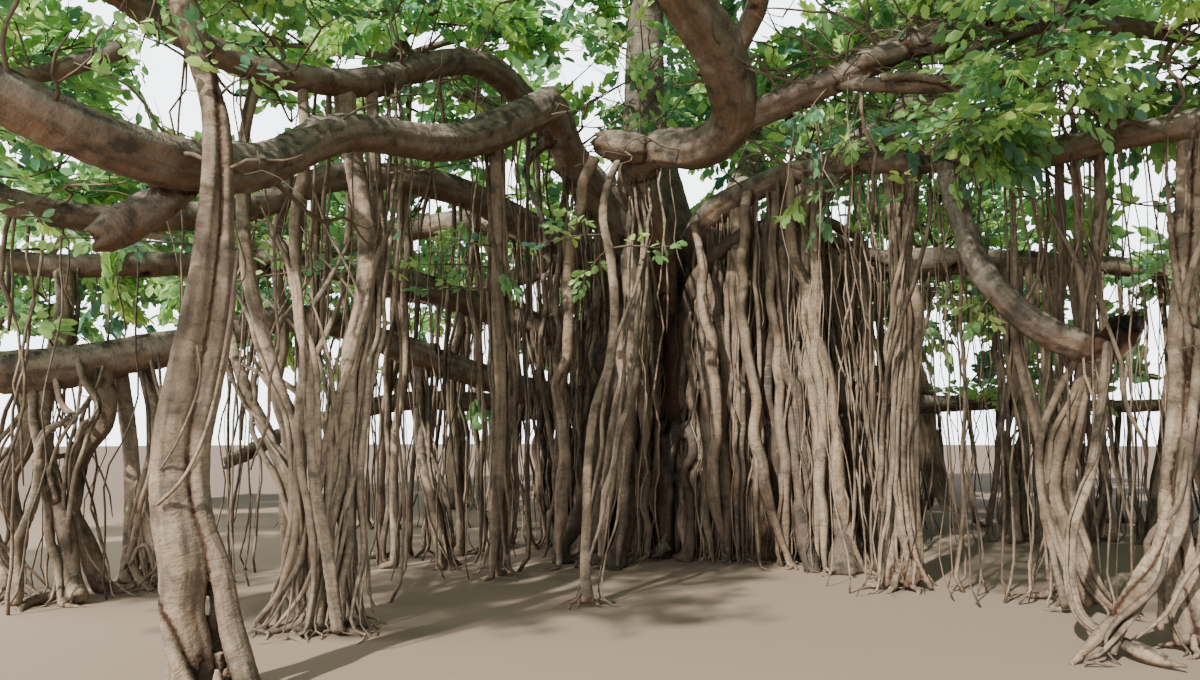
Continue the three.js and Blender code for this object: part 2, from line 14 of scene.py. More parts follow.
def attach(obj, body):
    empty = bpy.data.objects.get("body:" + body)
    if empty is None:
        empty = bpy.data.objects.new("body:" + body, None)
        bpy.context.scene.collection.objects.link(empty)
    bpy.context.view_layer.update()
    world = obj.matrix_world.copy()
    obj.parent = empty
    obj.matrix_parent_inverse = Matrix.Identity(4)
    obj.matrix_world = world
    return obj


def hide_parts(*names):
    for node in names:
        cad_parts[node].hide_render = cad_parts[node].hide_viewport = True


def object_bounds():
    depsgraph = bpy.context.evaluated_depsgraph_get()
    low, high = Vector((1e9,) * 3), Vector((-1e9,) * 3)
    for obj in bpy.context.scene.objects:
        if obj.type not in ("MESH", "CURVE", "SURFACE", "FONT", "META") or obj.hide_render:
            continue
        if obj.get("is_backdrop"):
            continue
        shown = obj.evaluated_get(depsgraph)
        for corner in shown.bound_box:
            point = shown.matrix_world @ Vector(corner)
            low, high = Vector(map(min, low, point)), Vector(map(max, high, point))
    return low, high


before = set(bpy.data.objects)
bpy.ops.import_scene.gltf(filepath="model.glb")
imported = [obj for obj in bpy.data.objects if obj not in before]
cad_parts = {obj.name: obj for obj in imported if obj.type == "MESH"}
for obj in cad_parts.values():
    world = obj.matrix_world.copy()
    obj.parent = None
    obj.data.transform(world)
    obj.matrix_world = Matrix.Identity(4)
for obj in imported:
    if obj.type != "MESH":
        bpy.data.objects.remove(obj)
cad_low, cad_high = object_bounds()
BOX_LOW, BOX_HIGH = np.array(cad_low), np.array(cad_high)
GOLDEN_ANGLE = math.pi * (3 - math.sqrt(5))
print("box of the solids:", BOX_LOW.round(2), BOX_HIGH.round(2))

# %% [markdown]
# # The camera
# The photographer stood under the crown's edge at eye height and tilted the lens up a little.
# A wide lens on a full frame gives the same perspective. The small function turns a place in the
# picture and a distance into a place on the tree, which is handy for limbs that were traced.

# %% Place the camera
PHOTO_WIDTH, PHOTO_HEIGHT = 1200, 680
LENS, SENSOR = 27.0, 36.0
FOCAL_PIXELS = LENS / SENSOR * PHOTO_WIDTH
HORIZON_PIXEL = 430
EYE = np.array([-1.64, -13.4, 1.55])
PITCH = math.atan((HORIZON_PIXEL - PHOTO_HEIGHT / 2) / FOCAL_PIXELS)

bpy.ops.object.camera_add(location=EYE, rotation=(math.pi / 2 + PITCH, 0, 0))
camera = bpy.context.object
camera.data.lens = LENS
camera.data.sensor_width = SENSOR
camera.data.sensor_fit = "HORIZONTAL"
camera.data.clip_end = 400
bpy.context.scene.camera = camera


def seen_at(across, down, distance):
    """The place at a pixel of the picture, so many metres in front of the camera."""
    x = (across - PHOTO_WIDTH / 2) / FOCAL_PIXELS
    y = (PHOTO_HEIGHT / 2 - down) / FOCAL_PIXELS
    ray = np.array([x, math.cos(PITCH) - math.sin(PITCH) * y, math.sin(PITCH) + math.cos(PITCH) * y])
    return EYE + ray * distance / ray[1]


# %% [markdown]
# # Lines
# Every limb is a smooth line with a radius along it. The same curve rule as in the solids is used,
# a centripetal one, which passes through each station without loops. A frame of three directions
# is carried along the line, so that bark can follow the limb round every bend.

# %% Smooth lines and their frames
def seeded(seed):
    """The solids' own source of repeatable numbers from 0 to 1."""
    mask = 0xFFFFFFFF
    state = seed & mask

    def draw():
        nonlocal state
        state = (state + 0x6D2B79F5) & mask
        t = ((state ^ (state >> 15)) * (1 | state)) & mask
        t = ((t + (((t ^ (t >> 7)) * (61 | t)) & mask)) & mask) ^ t
        return (t ^ (t >> 14)) / 4294967296

    return draw


def plan_point(reach, azimuth, height):
    angle = math.radians(azimuth)
    return np.array([reach * math.cos(angle), reach * math.sin(angle), height])


def unit(v):
    return v / np.maximum(np.linalg.norm(v, axis=-1, keepdims=True), 1e-9)


def at_share(line, share):
    return line[int(round(share * (len(line) - 1)))]


def evened(values, count):
    """As many values as are asked for, evenly spaced between the given ones."""
    return np.interp(np.linspace(0, 1, count), np.linspace(0, 1, len(values)), values)


def lengths_along(line):
    return np.concatenate([[0], np.cumsum(np.linalg.norm(np.diff(line, axis=0), axis=1))])


def smooth_line(stations, step):
    """Points about a step apart on a smooth curve through the stations."""
    p = np.asarray(stations, float)
    p = np.vstack([2 * p[0] - p[1], p, 2 * p[-1] - p[-2]])
    t = np.linspace(0, 1, 16, endpoint=False)[:, None]
    pieces = []
    for a, b, c, d in zip(p[:-3], p[1:-2], p[2:-1], p[3:]):
        k0, k1, k2 = (max(np.linalg.norm(v) ** 0.5, 1e-4) for v in (b - a, c - b, d - c))
        m1 = ((b - a) / k0 - (c - a) / (k0 + k1) + (c - b) / k1) * k1
        m2 = ((c - b) / k1 - (d - b) / (k1 + k2) + (d - c) / k2) * k1
        pieces.append((2 * t**3 - 3 * t**2 + 1) * b + (t**3 - 2 * t**2 + t) * m1
                      + (3 * t**2 - 2 * t**3) * c + (t**3 - t**2) * m2)
    dense = np.vstack(pieces + [p[-2:-1]])
    length = lengths_along(dense)
    at = np.linspace(0, length[-1], max(3, int(length[-1] / step) + 1))
    return np.stack([np.interp(at, length, dense[:, i]) for i in range(3)], 1)


class Strand:
    """One limb or root: its line, the radius along it, and the frame that travels with it."""

    def __init__(self, line, radii, tone=0.5):
        self.line = line
        self.radius = evened(radii, len(line))
        self.tone = tone
        self.tangent = unit(np.gradient(line, axis=0))
        side = np.empty_like(line)
        start = np.cross(self.tangent[0], [0.31, 0.17, 1.0])
        if np.linalg.norm(start) < 0.4:
            start = np.cross(self.tangent[0], [1.0, 0.2, 0.1])
        side[0] = start / np.linalg.norm(start)
        for i in range(1, len(line)):
            v = side[i - 1] - self.tangent[i] * side[i - 1].dot(self.tangent[i])
            side[i] = v / math.sqrt(v.dot(v))
        self.side = side
        self.face = np.cross(self.tangent, side)
        self.along = lengths_along(line)


def swayed(line, amount, rng, waves=3):
    """A line that wanders to the sides, and not at its two ends."""
    t = np.linspace(0, 1, len(line))
    held = np.sqrt(np.sin(np.pi * np.clip(t, 0.02, 0.98)))
    shift = np.zeros((len(line), 3))
    for wave in range(1, waves + 1):
        for axis in (0, 1):
            phase = rng.uniform(0, 2 * math.pi)
            size = amount * rng.uniform(0.5, 1.2) / wave
            shift[:, axis] += size * np.sin(2 * math.pi * wave * 0.8 * t + phase)
    return line + shift * held[:, None]


def crooked(line, amount, rng, apart=0.3):
    """The small irregular bends of a root: a new offset every so many metres, held at both ends."""
    length = np.linalg.norm(np.diff(line, axis=0), axis=1).sum()
    knots = max(4, int(length / apart) + 1)
    offset = rng.normal(0, amount, (knots + 1, 3)) * [1, 1, 0]
    offset[[0, -1]] = 0
    t = np.linspace(0, knots - 1e-6, len(line))
    i, f = t.astype(int), (t % 1)[:, None]
    f = f * f * (3 - 2 * f)
    return line + offset[i] * (1 - f) + offset[i + 1] * f


def wandering(line, sway, crook, rng, waves=3, apart=0.3):
    return crooked(swayed(line, sway, rng, waves), crook, rng, apart)


# %% [markdown]
# # Noise for relief
# Bark is never even. A small noise function gives smooth hills that repeat exactly on every run.
# It is read in the limb's own straightened space, where one axis runs along the limb, so that
# sinews follow the limb and wrinkles go round it.

# %% A repeatable noise
def lattice(cell, seed):
    h = cell[:, 0] * 374761393 + cell[:, 1] * 668265263 + cell[:, 2] * 1442695041 + seed * 974634777
    h &= 0xFFFFFFFF
    h = ((h ^ (h >> 13)) * 1274126177) & 0xFFFFFFFF
    return ((h ^ (h >> 16)) & 0xFFFF) / 65535.0


def noise(p, seed=0):
    """Smooth values from -1 to 1, with hills about one unit apart."""
    cell = np.floor(p).astype(np.int64)
    f = p - cell
    f = f * f * (3 - 2 * f)
    total = np.zeros(len(p))
    for dx in (0, 1):
        wx = f[:, 0] if dx else 1 - f[:, 0]
        for dy in (0, 1):
            wy = f[:, 1] if dy else 1 - f[:, 1]
            for dz in (0, 1):
                wz = f[:, 2] if dz else 1 - f[:, 2]
                total += wx * wy * wz * lattice(cell + np.array([dx, dy, dz]), seed)
    return 2 * total - 1


# %% [markdown]
# # Bark and leaves as materials
# The bark is smooth and grey-brown, with pale bands round it like rings of corky pores and dark
# mottling on top. Its underside is painted warmer, as bounce light, and its hollows are painted
# near black, as shade. One node group makes that pattern for every wooden piece, from the
# straightened place that each mesh carries.

# %% The shared bark pattern
NODE_SETTINGS = ("operation", "data_type", "attribute_name")


def wire(tree, kind, **values):
    """Add a node and set or link its inputs by name or as i0, i1; a socket as a value is linked."""
    node = tree.nodes.new(kind)
    for key in [key for key in values if key in NODE_SETTINGS]:
        setattr(node, key, values.pop(key))
    for key, value in values.items():
        socket = node.inputs[int(key[1:]) if key[1:].isdigit() else key.replace("_", " ")]
        if isinstance(value, bpy.types.NodeSocket):
            tree.links.new(value, socket)
        else:
            socket.default_value = value
    return node


bark_pattern = bpy.data.node_groups.new("Bark pattern", "ShaderNodeTree")
for way, kind, labels in (("INPUT", "Vector", "Place"), ("INPUT", "Float", "Up Tone Hollow Bands"),
                          ("INPUT", "Color", "Pale Warm Dark Lichen"), ("OUTPUT", "Color", "Colour"),
                          ("OUTPUT", "Float", "Roughness Height")):
    for label in labels.split():
        bark_pattern.interface.new_socket(name=label, in_out=way, socket_type="NodeSocket" + kind)

given = bark_pattern.nodes.new("NodeGroupInput").outputs
result = bark_pattern.nodes.new("NodeGroupOutput").inputs
HOLLOW_SHADE_BROWN, HOLLOW_SHADE_BLACK = (0.085, 0.042, 0.022, 1), (0.006, 0.005, 0.004, 1)


def bark_node(kind, output=0, **values):
    return wire(bark_pattern, "ShaderNode" + kind, **values).outputs[output]


def times(first, second):
    return bark_node("Math", operation="MULTIPLY", i0=first, i1=second)


def plus(first, second):
    return bark_node("Math", operation="ADD", i0=first, i1=second)


def ramped(value, low, high):
    """The value stretched so that low becomes 0 and high becomes 1."""
    return bark_node("MapRange", Value=value, From_Min=low, From_Max=high)


def clouds(scale, detail, roughness=0.5, stretch=None, **settings):
    """Noise in the straightened space, stretched along or across the limb where that is asked."""
    place = given["Place"]
    if stretch:
        place = bark_node("VectorMath", operation="MULTIPLY", i0=place, i1=stretch)
    return bark_node("TexNoise", Vector=place, Scale=scale, Detail=detail, Roughness=roughness, **settings)


def tinted(colour, tint, factor, most=None):
    """The colour with a tint laid over it, by a factor that is brought down to its most."""
    factor = times(factor, most) if most else factor
    return bark_node("Mix", 2, data_type="RGBA", i0=factor, i6=colour, i7=tint)


bands = clouds(1.0, 4.0, 0.65, (7, 7, 27), Distortion=0.9)
sinews = clouds(1.0, 3.0, stretch=(16, 16, 1.6))
patches, mottles = clouds(1.9, 4.0, 0.55), clouds(11.0, 6.0, 0.7)
grain, blotches = clouds(55.0, 4.0, 0.7), clouds(4.5, 5.0, 0.65)
pale, warm, dark, lichen, tone, up = (given[key] for key in ("Pale", "Warm", "Dark", "Lichen", "Tone", "Up"))
# Warm patches of the bark's own, and a warmer underside that is painted bounce light.
warm_patches_and_underside_bounce = plus(times(ramped(patches, 0.5, 0.7), 0.6), times(ramped(up, 0.2, -0.7), 0.85))
colour = tinted(pale, dark, ramped(patches, 0.5, 0.3), 0.66)
colour = tinted(colour, warm, warm_patches_and_underside_bounce)
colour = tinted(colour, pale, ramped(tone, 0.55, 1.0), 0.8)
colour = tinted(colour, dark, ramped(tone, 0.5, 0.0), 0.85)
band_lines = times(times(ramped(bands, 0.5, 0.72), given["Bands"]), ramped(patches, 0.62, 0.4))
colour = tinted(colour, pale, band_lines, 0.72)
colour = tinted(colour, dark, times(ramped(bands, 0.46, 0.3), given["Bands"]), 0.58)
colour = tinted(colour, dark, ramped(sinews, 0.52, 0.32), 0.6)
on_top = plus(times(ramped(up, 0.1, 0.85), 0.8), 0.2)
colour = tinted(colour, lichen, times(ramped(mottles, 0.47, 0.6), on_top))
colour = tinted(colour, lichen, ramped(blotches, 0.53, 0.64), 0.7)
colour = tinted(colour, pale, ramped(blotches, 0.44, 0.32), 0.6)
colour = tinted(colour, dark, ramped(grain, 0.35, 0.7), 0.3)
# Painted shade: corners in a hollow, crease or crevice turn dark brown, and deep ones near black.
colour = tinted(colour, HOLLOW_SHADE_BROWN, ramped(given["Hollow"], 0.05, 0.5))
colour = tinted(colour, HOLLOW_SHADE_BLACK, ramped(given["Hollow"], 0.35, 0.9))
rings = times(times(bands, 0.55), plus(given["Bands"], 0.2))
height = plus(plus(plus(rings, times(mottles, 0.45)), times(grain, 0.16)), times(sinews, 0.3))
for value, socket in ((colour, "Colour"), (ramped(mottles, -0.6, 0.75), "Roughness"), (height, "Height")):
    bark_pattern.links.new(value, result[socket])


def bark_look(name, pale, warm, dark, lichen, bands, bump):
    """A bark material, with its own colours in the shared pattern."""
    look = bpy.data.materials.new(name)
    look.use_nodes = True
    tree = look.node_tree
    shader = tree.nodes["Principled BSDF"]
    pattern = tree.nodes.new("ShaderNodeGroup")
    pattern.node_tree = bark_pattern
    link = tree.links.new
    for carried, output, label in (("grain", "Vector", "Place"), ("tone", "Fac", "Tone"),
                                   ("hollow", "Fac", "Hollow")):
        attribute = wire(tree, "ShaderNodeAttribute", attribute_name=carried)
        link(attribute.outputs[output], pattern.inputs[label])
    normal = tree.nodes.new("ShaderNodeNewGeometry").outputs["Normal"]
    link(wire(tree, "ShaderNodeSeparateXYZ", i0=normal).outputs[2], pattern.inputs["Up"])
    for label, value in (("Pale", pale), ("Warm", warm), ("Dark", dark), ("Lichen", lichen)):
        pattern.inputs[label].default_value = (*value, 1)
    pattern.inputs["Bands"].default_value = bands
    for label, socket in (("Colour", "Base Color"), ("Roughness", "Roughness")):
        link(pattern.outputs[label], shader.inputs[socket])
    relief = wire(tree, "ShaderNodeBump", Strength=1.0, Distance=bump, Height=pattern.outputs["Height"])
    link(relief.outputs[0], shader.inputs["Normal"])
    shader.inputs["Specular IOR Level"].default_value = 0.3
    return look


BOUGH_BARK = bark_look("bough bark", (0.29, 0.255, 0.205), (0.19, 0.112, 0.062), (0.060, 0.048, 0.038),
                       (0.026, 0.023, 0.019), 0.15, 0.045)
ROOT_BARK = bark_look("root bark", (0.31, 0.24, 0.172), (0.18, 0.105, 0.062), (0.036, 0.027, 0.021),
                      (0.050, 0.040, 0.032), 0.8, 0.025)
# The trunk's bark is painted much darker, as the shade deep in its recesses.
SHADED_HEART_BARK = bark_look("heart bark painted for shade", (0.13, 0.10, 0.075), (0.068, 0.047, 0.032), (0.018, 0.014, 0.011),
                       (0.020, 0.017, 0.014), 0.6, 0.03)
TWIG_BARK = bark_look("twig bark", (0.20, 0.155, 0.11), (0.13, 0.09, 0.06), (0.05, 0.038, 0.027),
                      (0.09, 0.07, 0.05), 0.3, 0.004)

# %% [markdown]
# Leaves are thin, so light that falls on one side glows through to the other. A translucent part
# mixed into the shader does that. Each spray takes one of a few plain greens, from the yellow
# green of young leaves to the blue green of old ones in the shade.

# %% The leaf greens
LEAF_GREENS = (("leaf young", (0.42, 0.62, 0.17), (0.74, 0.94, 0.32)),
               ("leaf bright", (0.29, 0.51, 0.16), (0.56, 0.85, 0.31)),
               ("leaf green", (0.20, 0.40, 0.16), (0.42, 0.74, 0.31)),
               ("leaf deep", (0.13, 0.28, 0.15), (0.26, 0.56, 0.26)),
               ("leaf shade", (0.09, 0.21, 0.16), (0.17, 0.40, 0.24)))
GREEN_SHARES = (0.13, 0.29, 0.29, 0.18, 0.11)


def leaf_look(name, reflected, through):
    look = bpy.data.materials.new(name)
    look.use_nodes = True
    tree = look.node_tree
    shader = tree.nodes["Principled BSDF"]
    shader.inputs["Base Color"].default_value = (*reflected, 1)
    shader.inputs["Roughness"].default_value = 0.34
    shader.inputs["Specular IOR Level"].default_value = 0.6
    glow = wire(tree, "ShaderNodeBsdfTranslucent", Color=(*through, 1))
    mix = wire(tree, "ShaderNodeMixShader", i0=0.55, i1=shader.outputs[0], i2=glow.outputs[0])
    tree.links.new(mix.outputs[0], tree.nodes["Material Output"].inputs["Surface"])
    return look


LEAF_LOOKS = [leaf_look(*green) for green in LEAF_GREENS]


# %% [markdown]
# # Meshes from arrays
# Thousands of fine roots, twigs and leaves can't be modelled one by one. Their corners and faces
# are worked out as arrays and become one mesh per piece. Each mesh carries the straightened place
# of its corners, a tone for each strand and how deep in a hollow a corner lies, which the bark
# paints as shade.

# %% Helpers that make and finish a piece
pieces_made = []


def store(mesh, name, kind, values):
    attribute = mesh.attributes.new(name, kind, "POINT")
    key = "vector" if kind == "FLOAT_VECTOR" else "value"
    attribute.data.foreach_set(key, np.ascontiguousarray(values, dtype=np.float32).ravel())


def mesh_piece(name, corners, faces, looks, look_of_face=None, grain=None, tone=None):
    """A piece from an array of corners and a list of arrays of faces."""
    mesh = bpy.data.meshes.new(name)
    mesh.vertices.add(len(corners))
    mesh.vertices.foreach_set("co", np.ascontiguousarray(corners, dtype=np.float32).ravel())
    loops = np.concatenate([f.ravel() for f in faces]).astype(np.int32)
    sizes = np.concatenate([np.full(len(f), f.shape[1]) for f in faces])
    mesh.loops.add(len(loops))
    mesh.loops.foreach_set("vertex_index", loops)
    mesh.polygons.add(len(sizes))
    starts = np.concatenate([[0], np.cumsum(sizes)[:-1]]).astype(np.int32)
    mesh.polygons.foreach_set("loop_start", starts)
    for look in looks:
        mesh.materials.append(look)
    if look_of_face is not None:
        mesh.polygons.foreach_set("material_index", look_of_face.astype(np.int32))
    mesh.update(calc_edges=True)
    if grain is not None:
        store(mesh, "grain", "FLOAT_VECTOR", grain)
        store(mesh, "tone", "FLOAT", tone)
        store(mesh, "hollow", "FLOAT", np.zeros(len(corners)))
    mesh.shade_smooth()
    piece = bpy.data.objects.new(name, mesh)
    bpy.context.scene.collection.objects.link(piece)
    return piece


def settle(piece, slot, *nodes):
    """The piece rides on the tree and stands for its nodes. Its slot is not used."""
    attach(piece, "root")
    if nodes:
        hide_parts(*nodes)
    pieces_made.append((piece.name, len(piece.data.loops) - 2 * len(piece.data.polygons)))


ROOT_LUMPS = 0.12
PLACE_STEP = np.array([3.7, 1.9, 5.3])


def ring_of(angle, radius, along):
    """Places on rings in the straightened space of a limb."""
    local = np.zeros((*along.shape, len(angle), 3))
    local[..., 0] = np.cos(angle) * radius[..., None]
    local[..., 1] = np.sin(angle) * radius[..., None]
    local[..., 2] = along[..., None]
    return local


def tube_arrays(strands, sides):
    """Closed tubes round many strands, as corners, faces, straightened places and tones."""
    corners, quads, fans, grains, tones = [], [], [], [], []
    first = 0
    angle = np.arange(sides) / sides * 2 * math.pi
    c, d = np.cos(angle)[None, :, None], np.sin(angle)[None, :, None]
    j = np.arange(sides)
    k = (j + 1) % sides
    for number, s in enumerate(strands):
        rings = len(s.line)
        place = ring_of(angle, s.radius, s.along) + number * PLACE_STEP
        swell = 1 + ROOT_LUMPS * noise((place * [9, 9, 4]).reshape(-1, 3), 5).reshape(rings, sides)
        r = (s.radius[:, None] * swell)[..., None]
        ring = s.line[:, None] + r * (c * s.side[:, None] + d * s.face[:, None])
        corners += [ring.reshape(-1, 3), s.line[[0, -1]]]
        grains += [place.reshape(-1, 3), place[[0, -1], 0]]
        tones.append(np.full(rings * sides + 2, s.tone))
        i = np.arange(rings - 1)[:, None] * sides + first
        quads.append(np.stack([i + j, i + k, i + k + sides, i + j + sides], -1).reshape(-1, 4))
        ends = first + rings * sides
        last = ends - sides
        fans += [np.stack([np.full(sides, ends), first + k, first + j], -1),
                 np.stack([np.full(sides, ends + 1), last + j, last + k], -1)]
        first = ends + 2
    return (np.vstack(corners), [np.vstack(quads), np.vstack(fans)], np.vstack(grains),
            np.concatenate(tones))


def root_piece(name, strands, sides, look=ROOT_BARK):
    corners, faces, grain, tone = tube_arrays(strands, sides)
    corners[:, 2] = np.maximum(corners[:, 2], 0.0)
    settle(mesh_piece(name, corners, faces, [look], grain=grain, tone=tone), "root_bark")
    print(*pieces_made[-1], "triangles,", len(strands), "strands")


# %% [markdown]
# # Limbs with bark relief
# A bough is drawn as a bevelled curve, as by hand, with its radius at each point. The curve turns
# into a mesh, a voxel remesh grows its branches together as living wood does, and the relief is
# then pushed out along the normals: slow swellings, long sinews, and wrinkles across the limb.

# %% Bevelled curve, remesh and relief
def deselect():
    for thing in bpy.context.selected_objects:
        thing.select_set(False)


def drawn_limbs(name, strands):
    """Every strand as one line of a bevelled curve, converted to a mesh."""
    deselect()
    bpy.ops.curve.primitive_nurbs_path_add(location=(0, 0, 0))
    thing = bpy.context.object
    thing.name = name
    curve = thing.data
    curve.splines.clear()
    for s in strands:
        spline = curve.splines.new("POLY")
        spline.points.add(len(s.line) - 1)
        place = np.column_stack([s.line, np.ones(len(s.line))]).astype(np.float32)
        spline.points.foreach_set("co", place.ravel())
        spline.points.foreach_set("radius", s.radius.astype(np.float32))
    curve.dimensions = "3D"
    curve.bevel_depth = 1.0
    curve.bevel_resolution = 3
    curve.use_fill_caps = True
    bpy.ops.object.convert(target="MESH")
    return bpy.context.object


def apply_modifier(thing, kind, **values):
    modifier = thing.modifiers.new(kind.title(), kind)
    for key, value in values.items():
        setattr(modifier, key, value)
    bpy.ops.object.modifier_apply(modifier=modifier.name)


def fuse(thing, voxel):
    """Grow crossing tubes together, and take the steps of the voxels off."""
    apply_modifier(thing, "REMESH", mode="VOXEL", voxel_size=voxel)
    apply_modifier(thing, "SMOOTH", factor=0.5, iterations=2)


def read_rows(values, key):
    """The places or normals of a mesh's corners, one row for each."""
    rows = np.empty(len(values) * 3, np.float32)
    values.foreach_get(key, rows)
    return rows.reshape(-1, 3)


def move_corners(mesh, co):
    mesh.vertices.foreach_set("co", co.astype(np.float32).ravel())


def cut_at_ground():
    """Nothing of the tree is below the ground: a bisect takes that part off and closes it."""
    bpy.ops.object.mode_set(mode="EDIT")
    bpy.ops.mesh.select_all(action="SELECT")
    bpy.ops.mesh.bisect(plane_co=(0, 0, 0), plane_no=(0, 0, 1), clear_inner=True, use_fill=True)
    bpy.ops.object.mode_set(mode="OBJECT")


def finish_limb(thing, look, slot, nodes, local, tone, hollow, grounded):
    """What the bark needs to know at each corner, the cut at the ground, and the material."""
    mesh = thing.data
    store(mesh, "grain", "FLOAT_VECTOR", local)
    store(mesh, "tone", "FLOAT", tone)
    store(mesh, "hollow", "FLOAT", hollow)
    if grounded:
        cut_at_ground()
    mesh.update()
    bpy.ops.object.shade_smooth()
    mesh.materials.clear()
    mesh.materials.append(look)
    settle(thing, slot, *nodes)


CREVICE, CREVICE_GAP, CREVICE_DEPTH, CREVICE_SHADE = 0.03, 0.03, 0.012, 0.62


def nearest_frame(co, strands):
    """The straightened place of each corner on the strand whose surface is nearest, and how deep
    it lies in the crevice between that strand and the next one."""
    gaps, found = np.empty((2, len(strands), len(co)))
    for i, s in enumerate(strands):
        tree = kdtree.KDTree(len(s.line))
        for k, point in enumerate(s.line):
            tree.insert(point, k)
        tree.balance()
        hits = [tree.find(v)[1:] for v in co]
        found[i] = [index for index, _ in hits]
        gaps[i] = np.array([distance for _, distance in hits]) - s.radius[found[i].astype(int)]
    owner = gaps.argmin(0)
    row = found[owner, np.arange(len(co))].astype(int)
    first = np.cumsum([0] + [len(s.line) for s in strands])[owner] + row
    table = {key: np.vstack([getattr(s, key) for s in strands])[first]
             for key in ("line", "tangent", "side", "face")}
    away = co - table["line"]
    along = np.concatenate([s.along for s in strands])[first] + (away * table["tangent"]).sum(1)
    local = np.stack([(away * table["side"]).sum(1), (away * table["face"]).sum(1), along], 1)
    radius = np.concatenate([s.radius for s in strands])[first]
    crevice = np.zeros(len(co))
    if len(strands) > 1:
        near, next_near = np.partition(gaps, 1, axis=0)[:2]
        crevice = np.clip(1 - (next_near - near) / CREVICE, 0, 1) * (next_near < CREVICE_GAP)
    return local, radius, owner, crevice


TO_VIEWER = np.array([-0.3, -0.85, 0.42])
RELIEF = {"swell": 0.11, "sinew": 0.14, "wrinkle": 0.011, "rough": 0.004}


def bark_relief(local, radius, owner, swell, sinew, wrinkle, rough):
    """How far each corner stands out, in metres."""
    away = local[:, :2] / np.maximum(np.linalg.norm(local[:, :2], axis=1, keepdims=True), 1e-6)
    along = local[:, 2] + owner * 11.3
    ring = np.column_stack([away, along])
    out = swell * radius * noise(ring * [0.9, 0.9, 1.3], 1)
    out += sinew * radius * noise(ring * [2.4, 2.4, 0.55], 2)
    folds = noise(ring * [1.1, 1.1, 8.0], 3)
    out += wrinkle * (1 - 2.4 * np.abs(folds)) * (0.5 + 0.5 * noise(ring * [0.7, 0.7, 1.1], 6))
    out += rough * noise(ring * [5, 5, 22], 4)
    return out


def torn_end(co, hollow, s, depth, rag, scoop):
    """A broken end: ragged round its rim, hollow inside, and scooped open to the viewer. Its hollow
    and scoop are painted near black as shade, and the wood close to the end is darkened.
    """
    tip, way, wide = s.line[-1], s.tangent[-1], s.radius[-1]
    back = (co - tip) @ way
    aside = np.linalg.norm(co - tip - back[:, None] * way, axis=1) / wide
    near = (np.abs(back) < 1.3 * wide) & (aside < 1.5)
    bowl = np.clip(1 - (aside / 0.86) ** 2, 0, 1) * (back > -0.5 * wide)
    ragged = rag * wide * noise(co * 18, 8) * np.clip(back / wide + 1, 0, 1) * (aside > 0.5)
    co += (near * (ragged - depth * bowl))[:, None] * way
    torn = 0.4 * np.clip(back / wide + 0.9, 0, 1)
    hollow = np.where(near, np.maximum(hollow, np.clip(1.8 * bowl + torn, 0, 1)), hollow)
    if scoop:
        open_way = unit(TO_VIEWER - (TO_VIEWER @ way) * way)
        lifted = (co - tip - ((co - tip) @ way)[:, None] * way) @ open_way
        inside = np.clip(lifted / wide + 0.1, 0, 1) * np.clip(1 + back / scoop, 0, 1) ** 0.5
        inside = inside * (back < wide) * np.clip(2.2 - aside, 0, 1)
        co -= (1.65 * wide * inside)[:, None] * open_way
        # Painted shade: the inside of the scoop is darkened.
        hollow = np.maximum(hollow, np.clip(0.35 * (inside > 0.08) + 0.6 * inside ** 2, 0, 0.9))
    return hollow


def limb_piece(name, strands, voxel, look, slot, relief=RELIEF, swellings=(), scars=(), broken=(),
               grounded=False):
    """Draw, fuse, roughen and finish one limb, which replaces the solid of its name."""
    thing = drawn_limbs(name + "_bark", strands)
    fuse(thing, voxel)
    co = read_rows(thing.data.vertices, "co").astype(float)
    normal = read_rows(thing.data.vertex_normals, "vector")
    local, radius, owner, crevice = nearest_frame(co, strands)
    out = bark_relief(local, radius, owner, **relief)
    # Painted shade: the bark is darkened where its relief sinks and in the crevices between strands.
    hollow = np.maximum(np.clip(-out / (0.05 + radius) * 3 - 0.15, 0, 0.5), CREVICE_SHADE * crevice)
    out -= CREVICE_DEPTH * crevice
    for centre, size, rise in swellings:
        out += rise * np.exp(-((co - centre) ** 2).sum(1) / size**2)
    # Each scar is a raised ring round a pit, and the pit is painted near black as shade.
    for centre, size in scars:
        d = np.linalg.norm(co - centre, axis=1) / size
        out += 0.35 * size * np.exp(-((d - 1) / 0.45) ** 2) - 0.75 * size * np.exp(-(d / 0.65) ** 2)
        hollow = np.maximum(hollow, 0.95 * np.exp(-(d / 0.75) ** 4))
    co += normal * out[:, None]
    for number, *tear in broken:
        hollow = torn_end(co, hollow, strands[number], *tear)
    move_corners(thing.data, co)
    tone = np.array([s.tone for s in strands])[owner]
    finish_limb(thing, look, slot, [name], local + owner[:, None] * PLACE_STEP, tone, hollow, grounded)


# %% [markdown]
# # The boughs
# Long low boughs leave the trunk on all sides and bend as they find their way to the light. Each
# is told by how far out, in which direction and how high its stations are, as in the solids. A
# bough doesn't stop at its tip: it runs on, tapering, to the middle of its mass of leaves.

